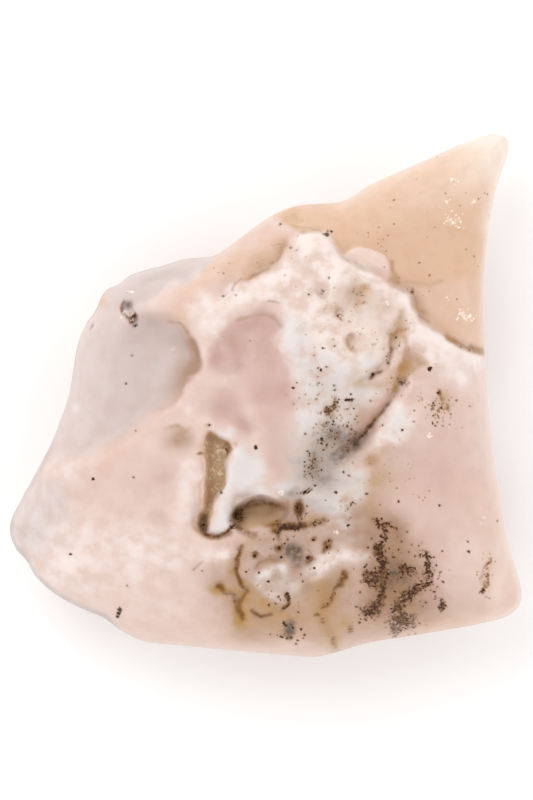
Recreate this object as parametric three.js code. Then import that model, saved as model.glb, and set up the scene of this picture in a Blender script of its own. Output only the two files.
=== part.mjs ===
// Pink opal: one tumbled pebble of common opal, formed and worn as a single piece.
// It has a thin horn at one corner, a broken crest across the foot of the horn, a shell-shaped
// scoop on the left, two natural cavities in the middle and a crevice below the crest.
// Millimetres, +Z up. The stone lies on its worn base at z = 0, under the middle of its footprint.
import * as THREE from "three";
import { mergeVertices } from "three/addons/utils/BufferGeometryUtils.js";

// Heights above the surface that the stone lies on.
const CROWN_HEIGHT = 13.2;
const CROWN_X = 3;
const CROWN_Y = 0;
const FALL_WEST = 0.011;
const FALL_EAST = 0.009;
const FALL_NORTH = 0.0085;
const FALL_SOUTH = 0.011;

// Depths of the main forms.
const HORN_DROP = 1.35;
const SCOOP_DEPTH = 1.7;
const FLANK_DROP = 0.75;
const SLIVER_DROP = 0.8;
const DIMPLE_DEPTH = 0.5;
const SLOT_DEPTH = 1.5;
const HOLLOW_DEPTH = 2.1;
const CREVICE_DEPTH = 0.75;

// The worn base and the underside around it.
const BASE_X = 1;
const BASE_Y = -2;
const BASE_HALF_LENGTH = 6.8;
const BASE_HALF_WIDTH = 6.2;
const KEEL_RISE = 0.85;
const KEEL_POWER = 1.5;
const LEAST_EDGE = 1.3;
const UNDER_ROUNDING = 4.2;
const ROUNDING_POWER = 2.5;

// Fineness of the surface: edge lengths on the plain parts, on the details and underneath.
const SPHERE_DETAIL = 7;
const PLAIN_EDGE = 2.6;
const WALL_EDGE = 0.52;
const DETAIL_EDGE = 1.15;
const UNDER_EDGE = 3.2;
const DETAIL_REACH = 0.35;
const DETAIL_GROWTH = 0.8;
const RIM_EDGE = 1.6;
const TIP_EDGE = 0.8;
const FAINT_DEPTH = 0.22;
const REFINING_ROUNDS = 5;
const CURVE_STEPS = 4;
const RIM_STEPS = 320;
const RIM_LATITUDE = 0.6 * Math.PI;

// The rim, seen from above and counter-clockwise from the right edge: x, y and its height.
const RIM = [
  [15.35, 3.0, 5.6], [15.25, 6.8, 5.8], [15.45, 10.2, 5.8], [15.75, 12.3, 5.7],
  [16.1, 14.2, 5.5], [16.65, 15.9, 5.3], [17.05, 17.2, 5.2], [16.95, 18.0, 5.1],
  [16.3, 18.36, 5.1], [15.2, 18.2, 5.1], [13.6, 17.6, 5.2], [11.5, 16.65, 5.4],
  [7.9, 15.05, 5.7], [6.9, 14.55, 5.8], [6.1, 13.95, 5.9], [5.0, 13.52, 6.0],
  [3.4, 13.42, 6.2], [2.0, 13.25, 6.3], [0.6, 12.7, 6.4], [-0.8, 11.8, 6.4],
  [-2.2, 10.75, 6.3], [-3.5, 9.85, 6.1], [-4.0, 9.72, 5.7], [-5.6, 9.58, 5.2],
  [-7.2, 9.12, 5.0], [-9.6, 8.4, 4.9], [-10.4, 7.75, 4.9], [-11.1, 7.5, 4.9],
  [-11.65, 6.75, 5.0], [-11.95, 5.98, 5.0], [-12.6, 5.1, 5.0], [-13.2, 3.7, 5.1],
  [-13.55, 1.8, 5.2], [-13.85, 0.0, 5.3], [-14.4, -1.6, 5.3], [-15.2, -3.6, 5.3],
  [-17.3, -7.5, 5.0], [-17.9, -8.7, 4.9], [-18.02, -9.6, 4.9], [-17.6, -10.8, 4.9],
  [-16.8, -11.7, 5.0], [-16.3, -12.6, 5.0], [-15.1, -13.8, 5.1], [-13.2, -14.9, 5.2],
  [-11.3, -15.7, 5.3], [-10.2, -16.55, 5.3], [-8.6, -17.3, 5.3], [-6.0, -17.6, 5.3],
  [0.5, -18.2, 5.4], [3.6, -18.38, 5.5], [5.2, -18.0, 5.5], [7.2, -17.4, 5.5],
  [10.0, -16.95, 5.6], [15.6, -15.95, 5.6], [17.0, -15.5, 5.6], [17.75, -14.85, 5.6],
  [17.95, -13.9, 5.6], [17.6, -12.3, 5.6], [17.05, -10.5, 5.6], [16.25, -6.1, 5.6],
  [15.85, -3.0, 5.6],
];

// The point inside the rim that every part of the rim faces.
const HEART = new THREE.Vector2(1.68, -1.75);

// Lines of the broken surface, seen from above.
const CREST = [
  [1.2, 12.3], [2.5, 11.8], [3.6, 11.35], [4.4, 10.95], [4.9, 10.2], [5.3, 9.7], [6.2, 9.05],
  [6.9, 8.6], [7.9, 8.3], [8.5, 8.0], [8.9, 7.6], [9.6, 7.3], [10.1, 6.95], [10.4, 6.15],
  [10.9, 5.35], [11.6, 4.8], [12.4, 4.15], [13.2, 3.5], [14.2, 3.05], [15.4, 2.85],
];
const CREST_RIDGE = [
  [2.6, 10.8], [4.0, 10.1], [4.6, 9.3], [5.8, 8.4], [7.0, 7.7], [8.3, 7.2], [9.3, 6.5],
  [9.8, 5.6], [10.8, 4.5], [12.2, 3.4], [13.8, 2.4],
];
const FLANK_EDGE = [
  [-3.4, 6.6], [-2.5, 6.95], [-2.3, 7.4], [-2.1, 7.8], [-1.7, 8.15], [-1.1, 8.4],
  [-0.3, 8.75], [0.4, 9.15], [0.9, 9.6], [1.1, 10.2], [1.7, 10.7], [2.6, 11.3],
];
const FLANK_TROUGH = [[-3.0, 7.6], [-2.3, 8.5], [-1.0, 9.3], [0.4, 10.0], [1.0, 10.5]];
const SLIVER_EDGE = [[-9.4, 5.7], [-8.2, 6.4], [-7.0, 7.1], [-5.6, 7.9], [-4.5, 8.7], [-3.7, 9.6]];
const SCOOP_EDGE = [
  [-10.6, 5.6], [-8.6, 5.4], [-6.9, 5.3], [-5.8, 4.7], [-5.3, 3.85], [-4.9, 3.0],
  [-4.85, 2.3], [-5.3, 1.5], [-6.0, 0.35], [-7.1, -0.6], [-8.2, -1.5], [-9.3, -2.5],
  [-10.4, -3.3], [-11.6, -3.9], [-13.0, -4.3], [-15.6, -4.4],
];
const LEDGE_BLOCK = [
  [5.5, 9.75], [6.1, 10.3], [7.4, 10.15], [8.25, 9.75], [8.6, 8.9], [8.6, 8.1], [7.8, 8.0],
  [6.7, 8.4], [5.9, 9.1],
];
const FAN_EDGE = [[8.8, 8.05], [9.7, 7.95], [11.1, 7.7], [12.5, 8.0], [14.0, 8.5], [15.5, 9.4]];
const DIMPLE = [
  [-3.4, 3.6], [-2.7, 4.7], [-2.0, 5.25], [-1.2, 5.5], [-0.3, 5.67], [0.6, 5.4], [1.05, 4.8],
  [0.75, 4.1], [1.1, 3.15], [1.55, 2.3], [1.5, 1.2], [1.1, 0.0], [-0.2, -0.5], [-1.8, 0.1],
  [-3.1, 1.3], [-3.7, 2.6],
];
const DIMPLE_BROW = [[-2.2, 5.1], [-1.3, 5.42], [-0.3, 5.58], [0.6, 5.25], [1.0, 4.7]];
const SECOND_ARC = [[-3.9, -1.0], [-3.0, -1.0], [-2.2, -1.25], [-1.5, -1.75], [-1.0, -2.3]];
const SLOT = [
  [-3.95, -2.62], [-3.65, -2.72], [-3.3, -2.95], [-2.9, -3.15], [-2.6, -3.4], [-2.48, -3.8],
  [-2.62, -4.15], [-2.83, -4.55], [-2.8, -5.2], [-2.82, -5.8], [-2.95, -6.3], [-3.3, -6.85],
  [-3.65, -7.35], [-3.9, -8.0], [-4.05, -8.7], [-4.12, -9.45], [-4.35, -9.6], [-4.62, -9.2],
  [-4.6, -8.6], [-4.4, -7.8], [-4.25, -7.0], [-4.25, -6.0], [-4.15, -5.2], [-4.15, -4.4],
  [-4.22, -4.05], [-4.22, -3.6], [-4.18, -3.0],
];
const SLOT_BANK = [[-4.7, -5.0], [-4.9, -6.0], [-4.85, -7.0], [-4.95, -8.2]];
const HOLLOW = [
  [-2.5, -9.1], [-2.4, -8.45], [-1.96, -7.84], [-1.4, -7.45], [-0.8, -7.2], [-0.28, -7.14],
  [0.28, -7.28], [0.77, -7.5], [1.15, -7.65], [1.4, -7.8], [1.5, -8.1], [1.35, -8.5],
  [0.85, -8.95], [0.2, -9.35], [-0.5, -9.6], [-1.3, -9.75], [-2.1, -9.6],
];
const HOLLOW_BROW = [[-1.7, -7.0], [-1.1, -6.75], [-0.4, -6.6], [0.3, -6.7], [1.2, -6.95]];
const PRONG = [[-1.9, -4.4], [-2.2, -5.5], [-2.45, -6.6], [-2.95, -7.8], [-3.25, -9.0]];
const PRONG_FOOT = [[-4.2, -9.7], [-3.6, -9.78], [-3.0, -9.75], [-2.55, -9.5]];
const CREVICE = [[9.5, 0.85], [8.9, 0.0], [8.3, -0.9], [7.65, -1.75], [7.1, -2.6], [6.4, -3.3]];
const CREVICE_TAIL = [[6.4, -3.3], [5.5, -4.0], [4.5, -5.2]];
const UPPER_CREASE = [[8.2, 4.5], [8.9, 3.9], [8.5, 2.6], [8.0, 1.9], [7.4, 1.4]];
const VEIN = [
  [-1.7, -10.6], [-2.1, -11.2], [-2.15, -11.9], [-2.2, -12.5], [-1.8, -13.0], [-1.4, -13.5],
  [-1.65, -13.9], [-1.8, -14.4], [-1.8, -15.0], [-1.6, -15.6],
];
const VEIN_BRANCH = [[-3.15, -13.4], [-2.8, -13.75], [-2.2, -13.95], [-2.1, -14.9], [-1.65, -15.6]];
const LUMP_BROW = [[-0.6, -12.1], [-0.3, -11.75], [0.3, -11.55], [0.9, -11.5]];
const LOWER_ARC = [[-0.9, -15.2], [-0.3, -15.5], [0.4, -15.4], [1.1, -15.1]];
const HOOK = [[1.45, -13.9], [1.62, -14.35], [1.4, -14.7], [1.15, -14.95]];
const LONG_STROKE = [[5.4, -12.6], [5.2, -13.2], [4.85, -13.8], [4.5, -14.35], [4.0, -14.8]];

// Corners outside the stone that close the areas reaching over its rim.
const BEYOND_HORN = [[24, 2.8], [24, 26], [-4, 26], [0.2, 12.9]];
const BEYOND_FLANK = [[2, 16], [-8, 12], [-4.6, 7.6]];
const BEYOND_SLIVER = [[-3.4, 13], [-14, 13], [-13, 6.6]];
const BEYOND_SCOOP = [[-22, -4.4], [-22, 8], [-12.6, 6.2]];
const BEYOND_FAN = [[18, 9.5], [18, 2.6], [12.4, 4.15], [10.1, 6.95]];

const clamp = (t) => THREE.MathUtils.clamp(t, 0, 1);

const smooth = (t) => THREE.MathUtils.smoothstep(t, 0, 1);

// A smooth curve through the given points, as a list of closely spaced points.
function curve(points, closed = false) {
  const through = points.map(([x, y]) => new THREE.Vector3(x, y, 0));
  const spans = closed ? points.length : points.length - 1;
  return new THREE.CatmullRomCurve3(through, closed, "centripetal")
    .getPoints(spans * CURVE_STEPS)
    .map((p) => [p.x, p.y]);
}

// The distance from a point to a line of points.
function distanceTo(line, x, y) {
  let nearest = Infinity;
  for (let i = 1; i < line.length; i += 1) {
    const [ax, ay] = line[i - 1];
    const dx = line[i][0] - ax;
    const dy = line[i][1] - ay;
    const t = clamp(((x - ax) * dx + (y - ay) * dy) / (dx * dx + dy * dy || 1));
    nearest = Math.min(nearest, Math.hypot(ax + t * dx - x, ay + t * dy - y));
  }
  return nearest;
}

function isInside(outline, x, y) {
  let inside = false;
  for (let i = 0, j = outline.length - 1; i < outline.length; j = i, i += 1) {
    const [ax, ay] = outline[i];
    const [bx, by] = outline[j];
    if (ay > y !== by > y && x < ((bx - ax) * (y - ay)) / (by - ay) + ax) inside = !inside;
  }
  return inside;
}

// Lines that need a fine surface on both sides, with the edge length wanted there.
const detailLines = [];

function noted(line, edge = DETAIL_EDGE) {
  detailLines.push({ line, edge });
  return line;
}

// An area that lies lower than its surroundings, behind a wall of the given width.
// The seen edge is smooth, and the corners beyond it close the area outside the stone.
function sunk(edge, beyond, depth, wall, fade = () => 1) {
  const seen = curve(edge, beyond.length === 0);
  if (Math.abs(depth) > FAINT_DEPTH) noted(seen, wall < 0.8 ? WALL_EDGE : DETAIL_EDGE);
  const outline = seen.concat(beyond);
  return (x, y) => {
    const away = distanceTo(seen, x, y);
    const signed = isInside(outline, x, y) ? away : -away;
    return -depth * fade(x, y) * smooth(0.5 + signed / wall);
  };
}

// A groove along a line; a negative depth makes it a ridge.
function groove(points, depth, halfWidth) {
  const line = curve(points);
  if (depth > FAINT_DEPTH && halfWidth < 0.5) noted(line, depth > 0.5 ? WALL_EDGE : DETAIL_EDGE);
  return (x, y) => {
    const away = distanceTo(line, x, y) / halfWidth;
    return -depth * Math.exp(-away * away);
  };
}

// A rounded lump, or a dent where the height is negative.
function lump(atX, atY, halfLength, halfWidth, turn, height) {
  const cos = Math.cos(THREE.MathUtils.degToRad(turn));
  const sin = Math.sin(THREE.MathUtils.degToRad(turn));
  if (-height > FAINT_DEPTH && halfWidth < 0.8) noted([[atX, atY], [atX + 0.1, atY]]);
  return (x, y) => {
    const along = ((x - atX) * cos + (y - atY) * sin) / halfLength;
    const across = ((y - atY) * cos - (x - atX) * sin) / halfWidth;
    return height * Math.exp(-along * along - across * across);
  };
}

// The scoop is deepest on the right and dies out towards the left rim and its upper corner.
function scoopFade(x, y) {
  const corner = smooth((-8.4 - x) / 2) * smooth((y - 2.8) / 2.4);
  return (0.4 + 0.6 * smooth((x + 12.5) / 6)) * (1 - corner);
}

// The hollow is deepest below its brow; its floor rises to the surface at the foot and the right.
function hollowFade(x, y) {
  return smooth((y + 9.55) / 1.7) * (1 - 0.6 * smooth((x - 0.4) / 1.1));
}

// The slot has a gentle left bank, but its lower end is steep on both sides.
function slotFade(x, y) {
  return THREE.MathUtils.lerp(1, smooth((x + 4.55) / 0.9), smooth((y + 8.6) / 0.8));
}

const topForms = [
  // The horn lies lower than the white mass, and the step dies out on the upper left.
  sunk(CREST, BEYOND_HORN, HORN_DROP, 0.75, (x) => smooth((x - 0.6) / 3.6)),
  groove(CREST_RIDGE, -0.45, 1.3),
  sunk(FAN_EDGE, BEYOND_FAN, 0.16, 0.8, (x) => smooth((16 - x) / 5)),
  sunk(LEDGE_BLOCK, [], -0.65, 0.4),
  lump(10.9, 13.2, 3.4, 1.6, 30, 0.25),

  // The peach flank and the grey sliver fall away to the rim above the scoop.
  sunk(FLANK_EDGE, BEYOND_FLANK, FLANK_DROP, 0.45, (x) => smooth((x + 3.6) / 1.4) * smooth((3.2 - x) / 2)),
  groove(FLANK_TROUGH, 0.3, 0.9),
  sunk(SLIVER_EDGE, BEYOND_SLIVER, SLIVER_DROP, 1.4, (x) => smooth((x + 9.8) / 2.5)),

  // The shell-shaped scoop.
  sunk(SCOOP_EDGE, BEYOND_SCOOP, SCOOP_DEPTH, 1.5, scoopFade),
  lump(-8.8, 2.4, 2.6, 3.4, -20, -0.35),
  lump(-15.2, -8.2, 1.6, 2.4, 10, -0.2),

  // The pink dimple and the arc below it.
  sunk(DIMPLE, [], DIMPLE_DEPTH, 2.2),
  groove(DIMPLE_BROW, 0.14, 0.35),
  groove(SECOND_ARC, 0.35, 0.6),
  lump(-5.8, -3.1, 1.3, 0.9, -20, -0.35),

  // The two cavities, with the smooth prong between them.
  sunk(SLOT, [], SLOT_DEPTH, 0.5, slotFade),
  groove(SLOT_BANK, 0.25, 0.6),
  sunk(HOLLOW, [], HOLLOW_DEPTH, 0.55, hollowFade),
  lump(-1.9, -8.6, 0.45, 0.8, 30, -0.9),
  groove(HOLLOW_BROW, 0.2, 0.4),
  groove(PRONG, -0.35, 0.55),
  groove(PRONG_FOOT, 0.45, 0.25),
  lump(2.3, -7.9, 0.3, 0.5, 0, -0.6),
  lump(2.8, -6.75, 0.5, 0.16, 30, -0.3),

  // The crevice below the crest and the white lump beside it.
  groove(CREVICE, CREVICE_DEPTH, 0.42),
  groove(CREVICE_TAIL, 0.35, 0.8),
  lump(9.0, -2.4, 1.1, 2.0, -25, 0.4),
  groove(UPPER_CREASE, 0.4, 0.4),
  lump(9.9, 2.2, 1.3, 0.9, 20, -0.3),
  lump(7.0, 6.6, 0.45, 1.5, 0, 0.45),
  lump(6.1, 6.9, 0.45, 0.9, -20, -0.5),
  lump(4.8, 7.7, 0.45, 1.4, -15, 0.4),
  lump(3.8, 7.0, 0.6, 0.5, 0, -0.25),
  lump(5.2, 5.6, 0.5, 0.6, 0, -0.25),
  lump(5.95, 3.6, 0.35, 0.7, 0, -0.4),
  lump(7.3, 4.0, 0.9, 0.7, 0, 0.45),
  lump(8.7, 6.1, 0.8, 0.7, 0, -0.2),

  // The lumpy lower middle with its veins.
  groove(VEIN, 0.25, 0.3),
  groove(VEIN_BRANCH, 0.2, 0.35),
  groove(LUMP_BROW, 0.25, 0.35),
  groove(LOWER_ARC, 0.15, 0.35),
  groove(HOOK, 0.2, 0.22),
  groove(LONG_STROKE, 0.2, 0.3),
  lump(0.8, -12.7, 1.4, 0.9, 0, 0.45),
  lump(3.9, -11.7, 1.6, 0.8, 30, 0.3),
  lump(-3.3, -11.2, 1.8, 1.6, 0, 0.25),
  lump(1.5, -16.5, 0.4, 0.5, 0, -0.25),
  lump(5.0, -7.3, 1.8, 1.2, 30, 0.3),

  // The small vug near the left rim, and single pits.
  lump(-9.7, 6.2, 0.5, 0.4, 30, -0.9),
  lump(-9.25, 5.4, 0.25, 0.5, 20, -0.7),
  lump(-10.3, -15.35, 0.22, 0.35, 0, -0.25),
];

// Broad worn hollows around the base.
const underForms = [
  lump(8.5, 8.5, 5.2, 3.8, 50, 0.7),
  lump(-9.5, -7.5, 5.0, 4.0, 20, 0.5),
  lump(11.0, -10.5, 4.2, 3.2, -30, 0.5),
  lump(-6.5, 4.0, 4.0, 3.2, 60, 0.5),
  lump(0.5, -13.5, 4.2, 2.6, 5, 0.4),
];

const sumOf = (forms, x, y) => forms.reduce((total, form) => total + form(x, y), 0);

// Slow swells that keep the polished surface from being even.
function swell(x, y) {
  return 0.1 * Math.sin(0.55 * x + 0.6 + 0.9 * Math.sin(0.31 * y)) * Math.cos(0.48 * y - 0.5) +
    0.05 * Math.sin(1.15 * x - 0.75 * y + 2);
}

function topHeight(x, y) {
  const east = x - CROWN_X;
  const north = y - CROWN_Y;
  const dome = (east > 0 ? FALL_EAST : FALL_WEST) * east * east +
    (north > 0 ? FALL_NORTH : FALL_SOUTH) * north * north;
  return CROWN_HEIGHT - dome + swell(x, y) + sumOf(topForms, x, y);
}

// The underside: flat and worn in the middle, rising like a keel towards the rim.
function underHeight(x, y, edgeHeight) {
  const out = Math.hypot((x - BASE_X) / BASE_HALF_LENGTH, (y - BASE_Y) / BASE_HALF_WIDTH) - 1;
  if (out <= 0) return 0;
  const rise = KEEL_RISE * out ** KEEL_POWER;
  return Math.min(rise + smooth(out / 0.6) * sumOf(underForms, x, y), edgeHeight - LEAST_EDGE);
}

// A quarter round: 0 at the rim, 1 from the given distance inwards.
function quarterRound(distance, radius) {
  const t = 1 - clamp(distance / radius);
  return Math.sqrt(1 - t ** ROUNDING_POWER);
}

const rimPoints = new THREE.CatmullRomCurve3(
  RIM.map(([x, y, z]) => new THREE.Vector3(x, y, z)),
  true,
  "centripetal",
).getSpacedPoints(RIM_STEPS);
const rimLine = rimPoints.map((p) => [p.x, p.y]);
noted(rimLine.filter(([x, y]) => x > 15 && y > 15), TIP_EDGE);

// How broadly the top is rounded over the rim: tight on the right edge and the horn,
// broad on the flank and along the bottom.
function topRounding(rim) {
  const rightEdge = smooth((rim.x - 13.5) / 2);
  const flank = smooth((rim.y - 9.5) / 2) * smooth((6 - rim.x) / 4);
  const bottom = smooth((-13 - rim.y) / 3);
  const soft = 3 + 2.2 * flank + 1.4 * bottom;
  return THREE.MathUtils.lerp(soft, 1.7, rightEdge);
}

// Carries a point of the unit sphere to the stone's surface.
function place(direction) {
  const turn = Math.atan2(direction.y, direction.x) / (2 * Math.PI);
  const step = (turn < 0 ? turn + 1 : turn) * RIM_STEPS;
  const before = Math.min(Math.floor(step), RIM_STEPS - 1);
  const rim = rimPoints[before].clone().lerp(rimPoints[before + 1], step - before);
  const latitude = Math.acos(THREE.MathUtils.clamp(direction.z, -1, 1));
  const isTop = latitude < RIM_LATITUDE;
  const share = isTop ? latitude / RIM_LATITUDE : (Math.PI - latitude) / (Math.PI - RIM_LATITUDE);
  const reach = Math.sin((share * Math.PI) / 2);
  const x = THREE.MathUtils.lerp(HEART.x, rim.x, reach);
  const y = THREE.MathUtils.lerp(HEART.y, rim.y, reach);
  const inwards = distanceTo(rimLine, x, y);
  const target = isTop ? topHeight(x, y) : underHeight(x, y, rim.z);
  const rounding = quarterRound(inwards, isTop ? topRounding(rim) : UNDER_ROUNDING);
  return { point: new THREE.Vector3(x, y, THREE.MathUtils.lerp(rim.z, target, rounding)), isTop };
}

// The edge length wanted at a place on the surface.
function wantedEdge(place) {
  const { x, y } = place.point;
  if (distanceTo(rimLine, x, y) < DETAIL_REACH && y < 15) return RIM_EDGE;
  if (!place.isTop) return UNDER_EDGE;
  return detailLines.reduce((wanted, { line, edge }) => {
    const away = Math.max(0, distanceTo(line, x, y) - DETAIL_REACH);
    return Math.min(wanted, edge + DETAIL_GROWTH * away);
  }, PLAIN_EDGE);
}

// Splits every edge that is too long at its middle. Where a face loses an edge, its longest
// edge is split as well, so that no face becomes a sliver.
function refine(directions, faces) {
  const places = directions.map(place);
  const middles = new Map();
  const key = (a, b) => (a < b ? `${a},${b}` : `${b},${a}`);
  const length = (a, b) => places[a].point.distanceTo(places[b].point);
  const sides = ([a, b, c]) => [[a, b], [b, c], [c, a]];
  const longest = (face) => sides(face).reduce((m, s) => (length(...s) > length(...m) ? s : m));
  const split = (a, b) => {
    if (middles.has(key(a, b))) return false;
    middles.set(key(a, b), directions.length);
    directions.push(directions[a].clone().add(directions[b]).normalize());
    return true;
  };
  for (const face of faces) {
    for (const [a, b] of sides(face)) {
      const wanted = Math.min(wantedEdge(places[a]), wantedEdge(places[b]));
      if (length(a, b) > wanted) split(a, b);
    }
  }
  for (let changed = true; changed; ) {
    changed = false;
    for (const face of faces) {
      const touched = sides(face).some(([a, b]) => middles.has(key(a, b)));
      if (touched && split(...longest(face))) changed = true;
    }
  }
  const halve = (face, made) => {
    const open = sides(face).filter(([a, b]) => middles.has(key(a, b)));
    if (open.length === 0) return made.push(face);
    const [a, b] = open.reduce((m, s) => (length(...s) > length(...m) ? s : m));
    const c = face.find((v) => v !== a && v !== b);
    const m = middles.get(key(a, b));
    halve([a, m, c], made);
    halve([m, b, c], made);
    return made.length;
  };
  const made = [];
  for (const face of faces) halve(face, made);
  return made;
}

function opalGeometry() {
  const sphere = new THREE.IcosahedronGeometry(1, SPHERE_DETAIL);
  sphere.deleteAttribute("normal");
  sphere.deleteAttribute("uv");
  const merged = mergeVertices(sphere);
  const position = merged.getAttribute("position");
  const directions = [];
  for (let i = 0; i < position.count; i += 1) {
    directions.push(new THREE.Vector3().fromBufferAttribute(position, i).normalize());
  }
  let faces = [];
  for (let i = 0; i < merged.index.count; i += 3) faces.push([...merged.index.array.slice(i, i + 3)]);
  for (let round = 0; round < REFINING_ROUNDS; round += 1) faces = refine(directions, faces);
  const points = directions.map((direction) => place(direction).point);
  const geometry = new THREE.BufferGeometry().setFromPoints(points);
  geometry.setIndex(faces.flat());
  geometry.computeBoundingBox();
  const middle = geometry.boundingBox.getCenter(new THREE.Vector3());
  geometry.translate(-middle.x, -middle.y, -geometry.boundingBox.min.z);
  geometry.computeVertexNormals();
  return geometry;
}

const polishedOpal = new THREE.MeshStandardMaterial({
  color: 0xe8d0c4,
  roughness: 0.35,
  metalness: 0,
});

const stone = new THREE.Mesh(opalGeometry(), polishedOpal);
stone.name = "pink_opal";

const object = new THREE.Group();
object.name = "pink_opal_pebble";
object.add(stone);

export default object;
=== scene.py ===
import math

import bmesh
import bpy
import numpy as np
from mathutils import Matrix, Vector


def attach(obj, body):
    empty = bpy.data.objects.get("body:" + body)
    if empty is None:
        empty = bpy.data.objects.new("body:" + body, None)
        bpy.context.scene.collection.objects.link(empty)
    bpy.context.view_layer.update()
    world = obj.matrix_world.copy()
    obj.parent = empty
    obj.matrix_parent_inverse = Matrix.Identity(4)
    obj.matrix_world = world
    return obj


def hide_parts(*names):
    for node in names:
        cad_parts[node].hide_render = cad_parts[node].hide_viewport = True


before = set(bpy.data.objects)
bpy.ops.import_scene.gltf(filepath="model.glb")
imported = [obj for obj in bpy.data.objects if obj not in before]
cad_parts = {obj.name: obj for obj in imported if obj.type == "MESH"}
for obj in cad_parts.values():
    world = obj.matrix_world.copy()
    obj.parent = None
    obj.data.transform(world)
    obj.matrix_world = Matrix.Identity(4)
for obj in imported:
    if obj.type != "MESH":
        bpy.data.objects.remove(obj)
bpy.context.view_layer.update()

# A tumbled pebble of pink opal, seen from straight above. Places and sizes are millimetres in
# the solid's own frame: +X to the right of the picture, +Y to its top, +Z towards the camera.
MM = 0.001
NODE = "pink_opal"

# Heights above the surface that the stone lies on.
CROWN_HEIGHT = 13.2
CROWN_X = 3
CROWN_Y = 0
FALL_WEST = 0.011
FALL_EAST = 0.009
FALL_NORTH = 0.0085
FALL_SOUTH = 0.011

# Depths of the main forms.
HORN_DROP = 1.35
SCOOP_DEPTH = 1.7
FLANK_DROP = 0.75
SLIVER_DROP = 0.8
DIMPLE_DEPTH = 0.5
SLOT_DEPTH = 1.5
HOLLOW_DEPTH = 2.1
CREVICE_DEPTH = 0.75

# The worn base and the underside around it.
BASE_X = 1
BASE_Y = -2
BASE_HALF_LENGTH = 6.8
BASE_HALF_WIDTH = 6.2
KEEL_RISE = 0.85
KEEL_POWER = 1.5
LEAST_EDGE = 1.3
UNDER_ROUNDING = 4.2
ROUNDING_POWER = 2.5

# Fineness of the surface.
SPHERE_SUBDIVISIONS = 7
CURVE_STEPS = 6
RIM_STEPS = 480
RIM_LATITUDE = 0.62 * math.pi
# The mesh is refined in two passes: the longest edge that each leaves, and how far round the lines
# and the specks of the top it works.
FINE_EDGES = (0.17, 0.1)
LINE_REACH = (0.5, 0.2)
SPECK_REACH = (0.22, 0.06)

# The camera looks straight down. The picture is 533 by 800 pixels at 0.07 mm a pixel.
PICTURE_LONG_SIDE = 56.0
PICTURE_MIDDLE = (0.035, -0.35)
LENS = 600.0
SENSOR = 36.0
SHARP_HEIGHT = 9.0

# Brightness of the white tent, and of the opening above that the lens looks in through. The tent
# darkens from the edge of the opening to its dark middle. Both are heights of the view upwards, where
# 1 is straight up.
TENT = 1.0
LENS_HOLE = 0.25
HOLE_EDGE = 0.9
HOLE_MIDDLE = 0.985

# The soft lamp to the upper left, in metres and watts, and the paper that the stone lies on.
LAMP_PLACE = (-0.25, 0.35, 0.6)
LAMP_SIZE = 0.5
LAMP_POWER = 0.9
PAPER = "#fbfbfb"
PAPER_HALF_SIZE = 2.0
PAPER_ROUGHNESS = 0.9
PAPER_GLOW = 0.12

# Grain sizes in millimetres of the noise that breaks up the marks.
CLOUD = 4.0
CURD = 1.1
CRUMB = 0.35
DUST = 0.2

# The clear opal, between its two colours, and each kind of mark: its colour, the grain that breaks it
# up, how much it is broken up, and the strengths at which it starts to show and covers fully.
PEACH = ("#e2c4b8", "#edd6cd")
TINTS = {
    "sand": ("#e4bfa2", CLOUD, 0.6, 0.0, 1.0),
    "shell": ("#efd5c9", CLOUD, 0.3, 0.0, 0.9),
    "cream_and_rim_light": ("#fcecdf", CLOUD, 0.3, 0.0, 1.0),
    "grey_and_rim_shade": ("#aaa5a5", CLOUD, 0.3, 0.0, 1.0),
    "lilac": ("#dccbc6", CLOUD, 0.4, 0.0, 0.9),
    "wash_and_shade": ("#ae8b74", CLOUD, 1.0, 0.0, 1.1),
    "milk": ("#f7e8e2", CURD, 2.4, 0.0, 0.9),
    "frost": ("#eae1de", CURD, 2.4, 0.0, 0.9),
    "haze_and_shade": ("#9a8678", CURD, 2.0, 0.0, 1.1),
    "blush_and_shade": ("#c9a096", CLOUD, 1.0, 0.0, 1.1),
    "straw": ("#bb9156", CURD, 2.2, 0.05, 1.1),
    "tan_and_shade": ("#a9794d", CURD, 2.0, 0.03, 1.1),
    "clay": ("#cdad8b", CRUMB, 0.4, 0.2, 0.8),
    "ochre_and_shade": ("#83541a", CRUMB, 1.6, 0.05, 0.9),
    "smoke": ("#6e5a4d", CRUMB, 1.6, 0.03, 1.0),
    "bronze": ("#7a4a1c", CRUMB, 4.0, 0.2, 0.8),
    "rust": ("#32190a", DUST, 6.0, 0.42, 0.66),
    "umber_and_shade": ("#4a2a0e", CRUMB, 1.4, 0.08, 0.95),
}

# Roughness of the tumbled skin and of the raw floors of the cavities.
POLISH = 0.34
RAW_SURFACE = 0.7
OPAL_IOR = 1.45
OPAL_SHINE = 0.35
# How much light sinks into the stone, and how far its red, green and blue parts spread.
SINK = 0.25
SPREAD = (1.0, 0.5, 0.35)
SPREAD_SIZE = 1.2
# How strongly the polished skin is wrinkled, how much more the curdled middle is, and the height of
# the wrinkles in millimetres.
SKIN_WRINKLES = 0.5
CURD_WRINKLES = 2.2
WRINKLE_STRENGTH = 0.6
WRINKLE_HEIGHT = 0.1
# The pale crumbly loops in the slot: colour, size and line width.
SQUIGGLE = "#f0e0c8"
SQUIGGLE_SIZE = 0.5
SQUIGGLE_WIDTH = 0.035
# They come in as the curd grain rises through this range, and cover the floor by at most this much.
SQUIGGLE_RANGE = (0.36, 0.5)
SQUIGGLE_COVER = 0.7
# Tints of the mottles: painted shade in the low places of the curd grain, the same grain that raises the
# wrinkles, and a faint painted light on its rises; and how much of them the polished skin and the curdled
# middle take.
HOLLOW_SHADE = "#dcc5ad"
RISE_LIGHT = (1.02, 1.02, 1.03, 1)
MOTTLE = 0.12
CURD_MOTTLE = 0.34
MOTTLE_RANGE = (0.36, 0.6)
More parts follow.
